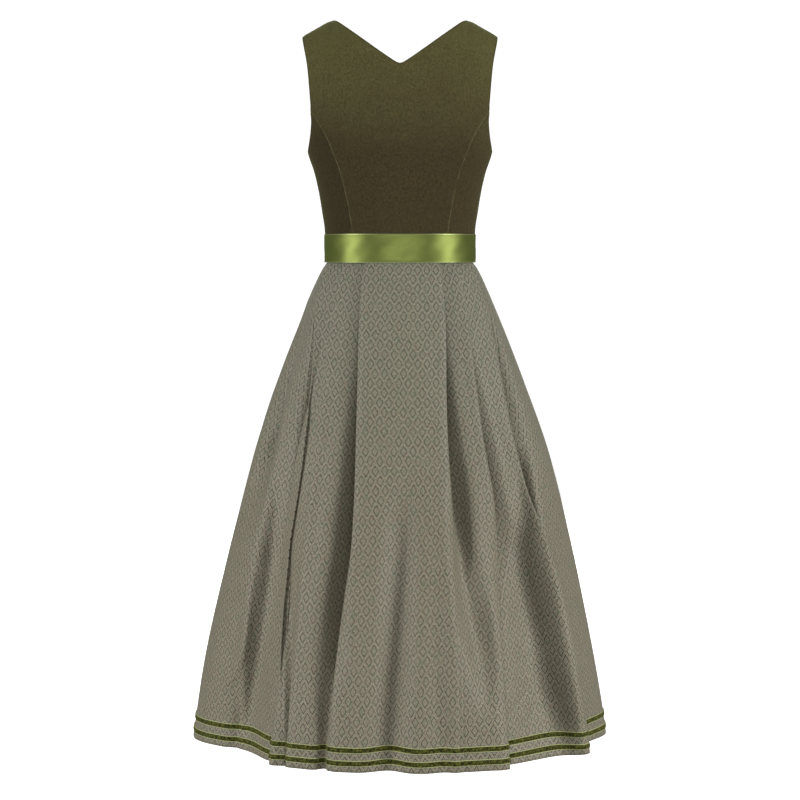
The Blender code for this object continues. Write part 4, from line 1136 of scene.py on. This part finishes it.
def middleColumn(share, side):
    top = 0.0
    for _ in range(bodice["searchSteps"]):
        reach = sectionSize(1, top) * math.sin(middleEdge(top, side) * share)
        top = 0.5 * top + 0.5 * middleTop(reach, side)
    sag = bodice["backTurnSag"] if side < 0 else bodice["frontTurnSag"]
    turn = bodice["armholeTurnZ"] - sag * (1 - share)
    count = bodice["upperRows"]
    levels = [top + (turn - top) * (row / count) ** bodice["topCrowding"] for row in range(count)]
    levels += lowerLevels(turn)
    return [bodyPoint(middleEdge(z, side) * share, z, side) for z in levels]


def armholeAngle(z, side):
    start = princessAngle(bodice["armholeTurnZ"], side)
    fall = min((bodice["armholeTurnZ"] - z) / (bodice["armholeTurnZ"] - bodice["armpitZ"]), 1.0)
    return start + (math.pi / 2 - start) * (1 - math.sqrt(1 - fall ** 2))


def sideAngle(share, z, side):
    inner = princessAngle(z, side)
    return inner + (math.pi / 2 - inner) * share


def sideColumn(share, side):
    low, high = bodice["armpitZ"], bodice["armholeTurnZ"]
    for _ in range(bodice["searchSteps"]):
        top = (low + high) / 2
        if sideAngle(share, top, side) > armholeAngle(top, side):
            high = top
        else:
            low = top
    return [bodyPoint(sideAngle(share, z, side), z, side) for z in lowerLevels(top)]


def gridOf(columns):
    return np.array(columns).transpose(1, 0, 2)


farOff = 9.0  # cm, past the reach of any seam or edge


def distanceTo(points, lines):
    # nearest distance from each point to any of some lines of points
    nearest = np.full(len(points), farOff)
    for line in lines:
        a, b = line[:-1], line[1:]
        run = b - a
        length = (run ** 2).sum(1) + 1e-12
        t = np.clip(((points[:, None] - a[None]) * run[None]).sum(2) / length[None], 0, 1)
        gap = np.linalg.norm(points[:, None] - (a[None] + t[..., None] * run[None]), axis=2)
        nearest = np.minimum(nearest, gap.min(1))
    return nearest


softFolds = [  # slight drag lines in the bodice: side, x, z, rise, reach across and down, in cm
    (-1, -9.0, -33.0, -0.10, 1.2, 4.0), (-1, 3.6, -32.0, -0.06, 0.9, 4.5),
    (-1, 9.4, -31.5, -0.10, 1.1, 4.0), (-1, -3.0, -33.5, 0.06, 1.4, 3.5),
    (1, -8.0, -33.5, -0.08, 1.2, 3.5), (1, 8.4, -33.0, -0.08, 1.2, 3.5),
    (-1, -13.0, -12.0, 0.10, 1.5, 4.0), (-1, 13.0, -11.0, 0.10, 1.5, 4.0),
]


def bodiceRelief(grid, side, seamGap):
    # drag lines, and the seam allowances' soft ridge beside each seam
    x, y, z = grid[..., 0], grid[..., 1], grid[..., 2]
    rise = np.zeros(x.shape)
    for foldSide, atX, atZ, height, across, down in softFolds:
        if foldSide == side:
            rise += height * np.exp(-((x - atX) / across) ** 2 - ((z - atZ) / down) ** 2)
    off = (seamGap.reshape(x.shape) - bodice["ridgeAt"]) / bodice["ridgeReach"]
    rise += bodice["ridge"] * np.exp(-off ** 2)
    flat = np.stack([x, y, np.zeros_like(x)], axis=-1)
    flat /= np.linalg.norm(flat, axis=-1, keepdims=True)
    return grid + flat * rise[..., None]


def makeBodicePiece(name, grid, side, seams, edges, sewn):
    points = grid.reshape(-1, 3)
    seamGap = distanceTo(points, seams)
    edgeGap = distanceTo(points, edges)
    grid = bodiceRelief(grid, side, seamGap)
    points = grid.reshape(-1, 3)
    faces = gridFaces(*grid.shape[:2])
    flatPlace = np.stack([grid[..., 0] + grid[..., 1] * bodice["mapSlant"], grid[..., 2]], axis=-1)
    uvs = flatPlace.reshape(-1, 2)[faces.ravel()]
    piece = shell(pieceNames[name], points, faces.tolist(), velvet, bodice["thickness"], uvs,
                  {"seamDistance": seamGap, "edgeDistance": edgeGap,
                   # painted shade factor of each side piece
                   "sidePanelShade": np.full(len(points), nap["turned"].get(name, 1.0))},
                  bodice["rounded"])
    standsFor(piece, name)
    sewRows(name, [inFromEdge(grid, *run) for run in sewn], "oliveThread")


def turned(grid, side):
    return grid[:, ::-1] if side > 0 else grid


def mirrored(grid):
    return (grid * np.array([-1, 1, 1]))[:, ::-1]


def neckShares():
    neck = bodice["neckHalfWidth"] / bodice["shoulderTip"]
    count, tip = bodice["neckColumns"], bodice["shoulderColumns"]
    return [neck * i / count for i in range(count)] + [neck + (1 - neck) * i / tip
                                                       for i in range(tip + 1)]


def makePair(name, grid, side, seams, edges, sewn, sewnMirrored):
    other = np.array([-1, 1, 1])
    makeBodicePiece(name + "_right", turned(grid, side), side, seams, edges, sewn)
    makeBodicePiece(name + "_left", turned(mirrored(grid), side), side,
                    [line * other for line in seams], [line * other for line in edges],
                    sewnMirrored)


def makeBodice():
    shares = neckShares()
    turnRow = bodice["upperRows"]
    neckColumn = bodice["neckColumns"]

    right = gridOf([middleColumn(share, -1) for share in shares])
    back = np.concatenate([mirrored(right)[:, :-1], right], axis=1)
    last = back.shape[1] - 1
    tip = len(shares) - 1 - neckColumn
    seams = [back[turnRow:, 0], back[turnRow:, last]]
    edges = [back[0, tip:last - tip + 1], back[:turnRow + 1, 0], back[:turnRow + 1, last]]
    makeBodicePiece("bodice_back", back, -1, seams, edges,
                    [("top", tip, last - tip), ("side", 0, turnRow), ("side", last, turnRow)])

    front = gridOf([middleColumn(share, 1) for share in shares])
    last = front.shape[1] - 1
    makePair("bodice_front", front, 1, [front[turnRow:, last]],
             [front[0, :neckColumn + 1], front[:turnRow + 1, last], front[:, 0]],
             [("top", last - neckColumn, last), ("side", 0, turnRow)],
             [("top", 0, neckColumn), ("side", last, turnRow)])

    shares = [i / bodice["sideColumns"] for i in range(bodice["sideColumns"] + 1)]
    for side, name in ((-1, "bodice_side_back"), (1, "bodice_side_front")):
        panel = gridOf([sideColumn(share, side) for share in shares])
        sewn = [("top", 1, len(shares) - 1)]
        makePair(name, panel, side, [panel[:, 0], panel[:, -1]], [panel[0]], sewn, sewn)


makeBodice()
print("bodice fitted")


waistBand = {  # satin ribbon round the waist, in cm
    "topZ": -35.5, "bottomZ": -40.2, "columns": 288, "rows": 25, "lift": 0.15, "thickness": 0.06,
    "bulge": 0.06, "hemRoll": 0.035, "hemRollAt": 0.12, "hemRollReach": 0.09, "sewnFrom": 0.11,
    # ripples: height, how often round, slant down the band, start
    "ripples": ((0.035, 3, 4.0, 0.6), (0.020, 9, -5.0, 0.0), (0.030, 13, 6.0, 1.1)),
    "flat": (0.705, 0.047),
}


def makeWaistRibbon():
    columns, rowCount = waistBand["columns"], waistBand["rows"]
    width = waistBand["topZ"] - waistBand["bottomZ"]
    # rows close together at the two edges
    share = (0.5 - 0.5 * np.cos(math.pi * np.linspace(0, 1, rowCount)))[:, None]
    angle = np.arange(columns)[None, :] * 2 * math.pi / columns
    heights = waistBand["topZ"] - width * share[:, 0]
    grid = np.array([[bodyPoint(turn, z, -1 if math.cos(turn) > 0 else 1) for turn in angle[0]]
                     for z in heights])
    edge = np.minimum(share, 1 - share) * width
    away = waistBand["lift"] + waistBand["bulge"] * np.sin(math.pi * share) ** 0.7
    away = away + waistBand["hemRoll"] * np.exp(
        -((edge - waistBand["hemRollAt"]) / waistBand["hemRollReach"]) ** 2)
    for rise, waves, slant, start in waistBand["ripples"]:
        away = away + rise * np.sin(waves * angle + slant * share + start) * np.sin(math.pi * share)
    outward = np.stack([np.sin(angle), -np.cos(angle), np.zeros_like(angle)], axis=-1)
    grid = grid + outward * away[..., None]
    faces = gridFaces(rowCount, columns, closed=True)
    piece = shell(pieceNames["waist_ribbon"], grid.reshape(-1, 3), faces.tolist(), satin,
                  waistBand["thickness"], bandMap(grid, heights),
                  {"edgeDistance": np.repeat(edge, columns, axis=1)})
    standsFor(piece, "waist_ribbon")
    inside = int(np.argmax(edge[:, 0] > waistBand["sewnFrom"]))
    lines = [grid[row] + outward[0] * sewing["lift"] for row in (inside, rowCount - 1 - inside)]
    sewRows("waist_ribbon", lines, "greenThread", closed=True)


makeWaistRibbon()
print("waist ribbon tied round")
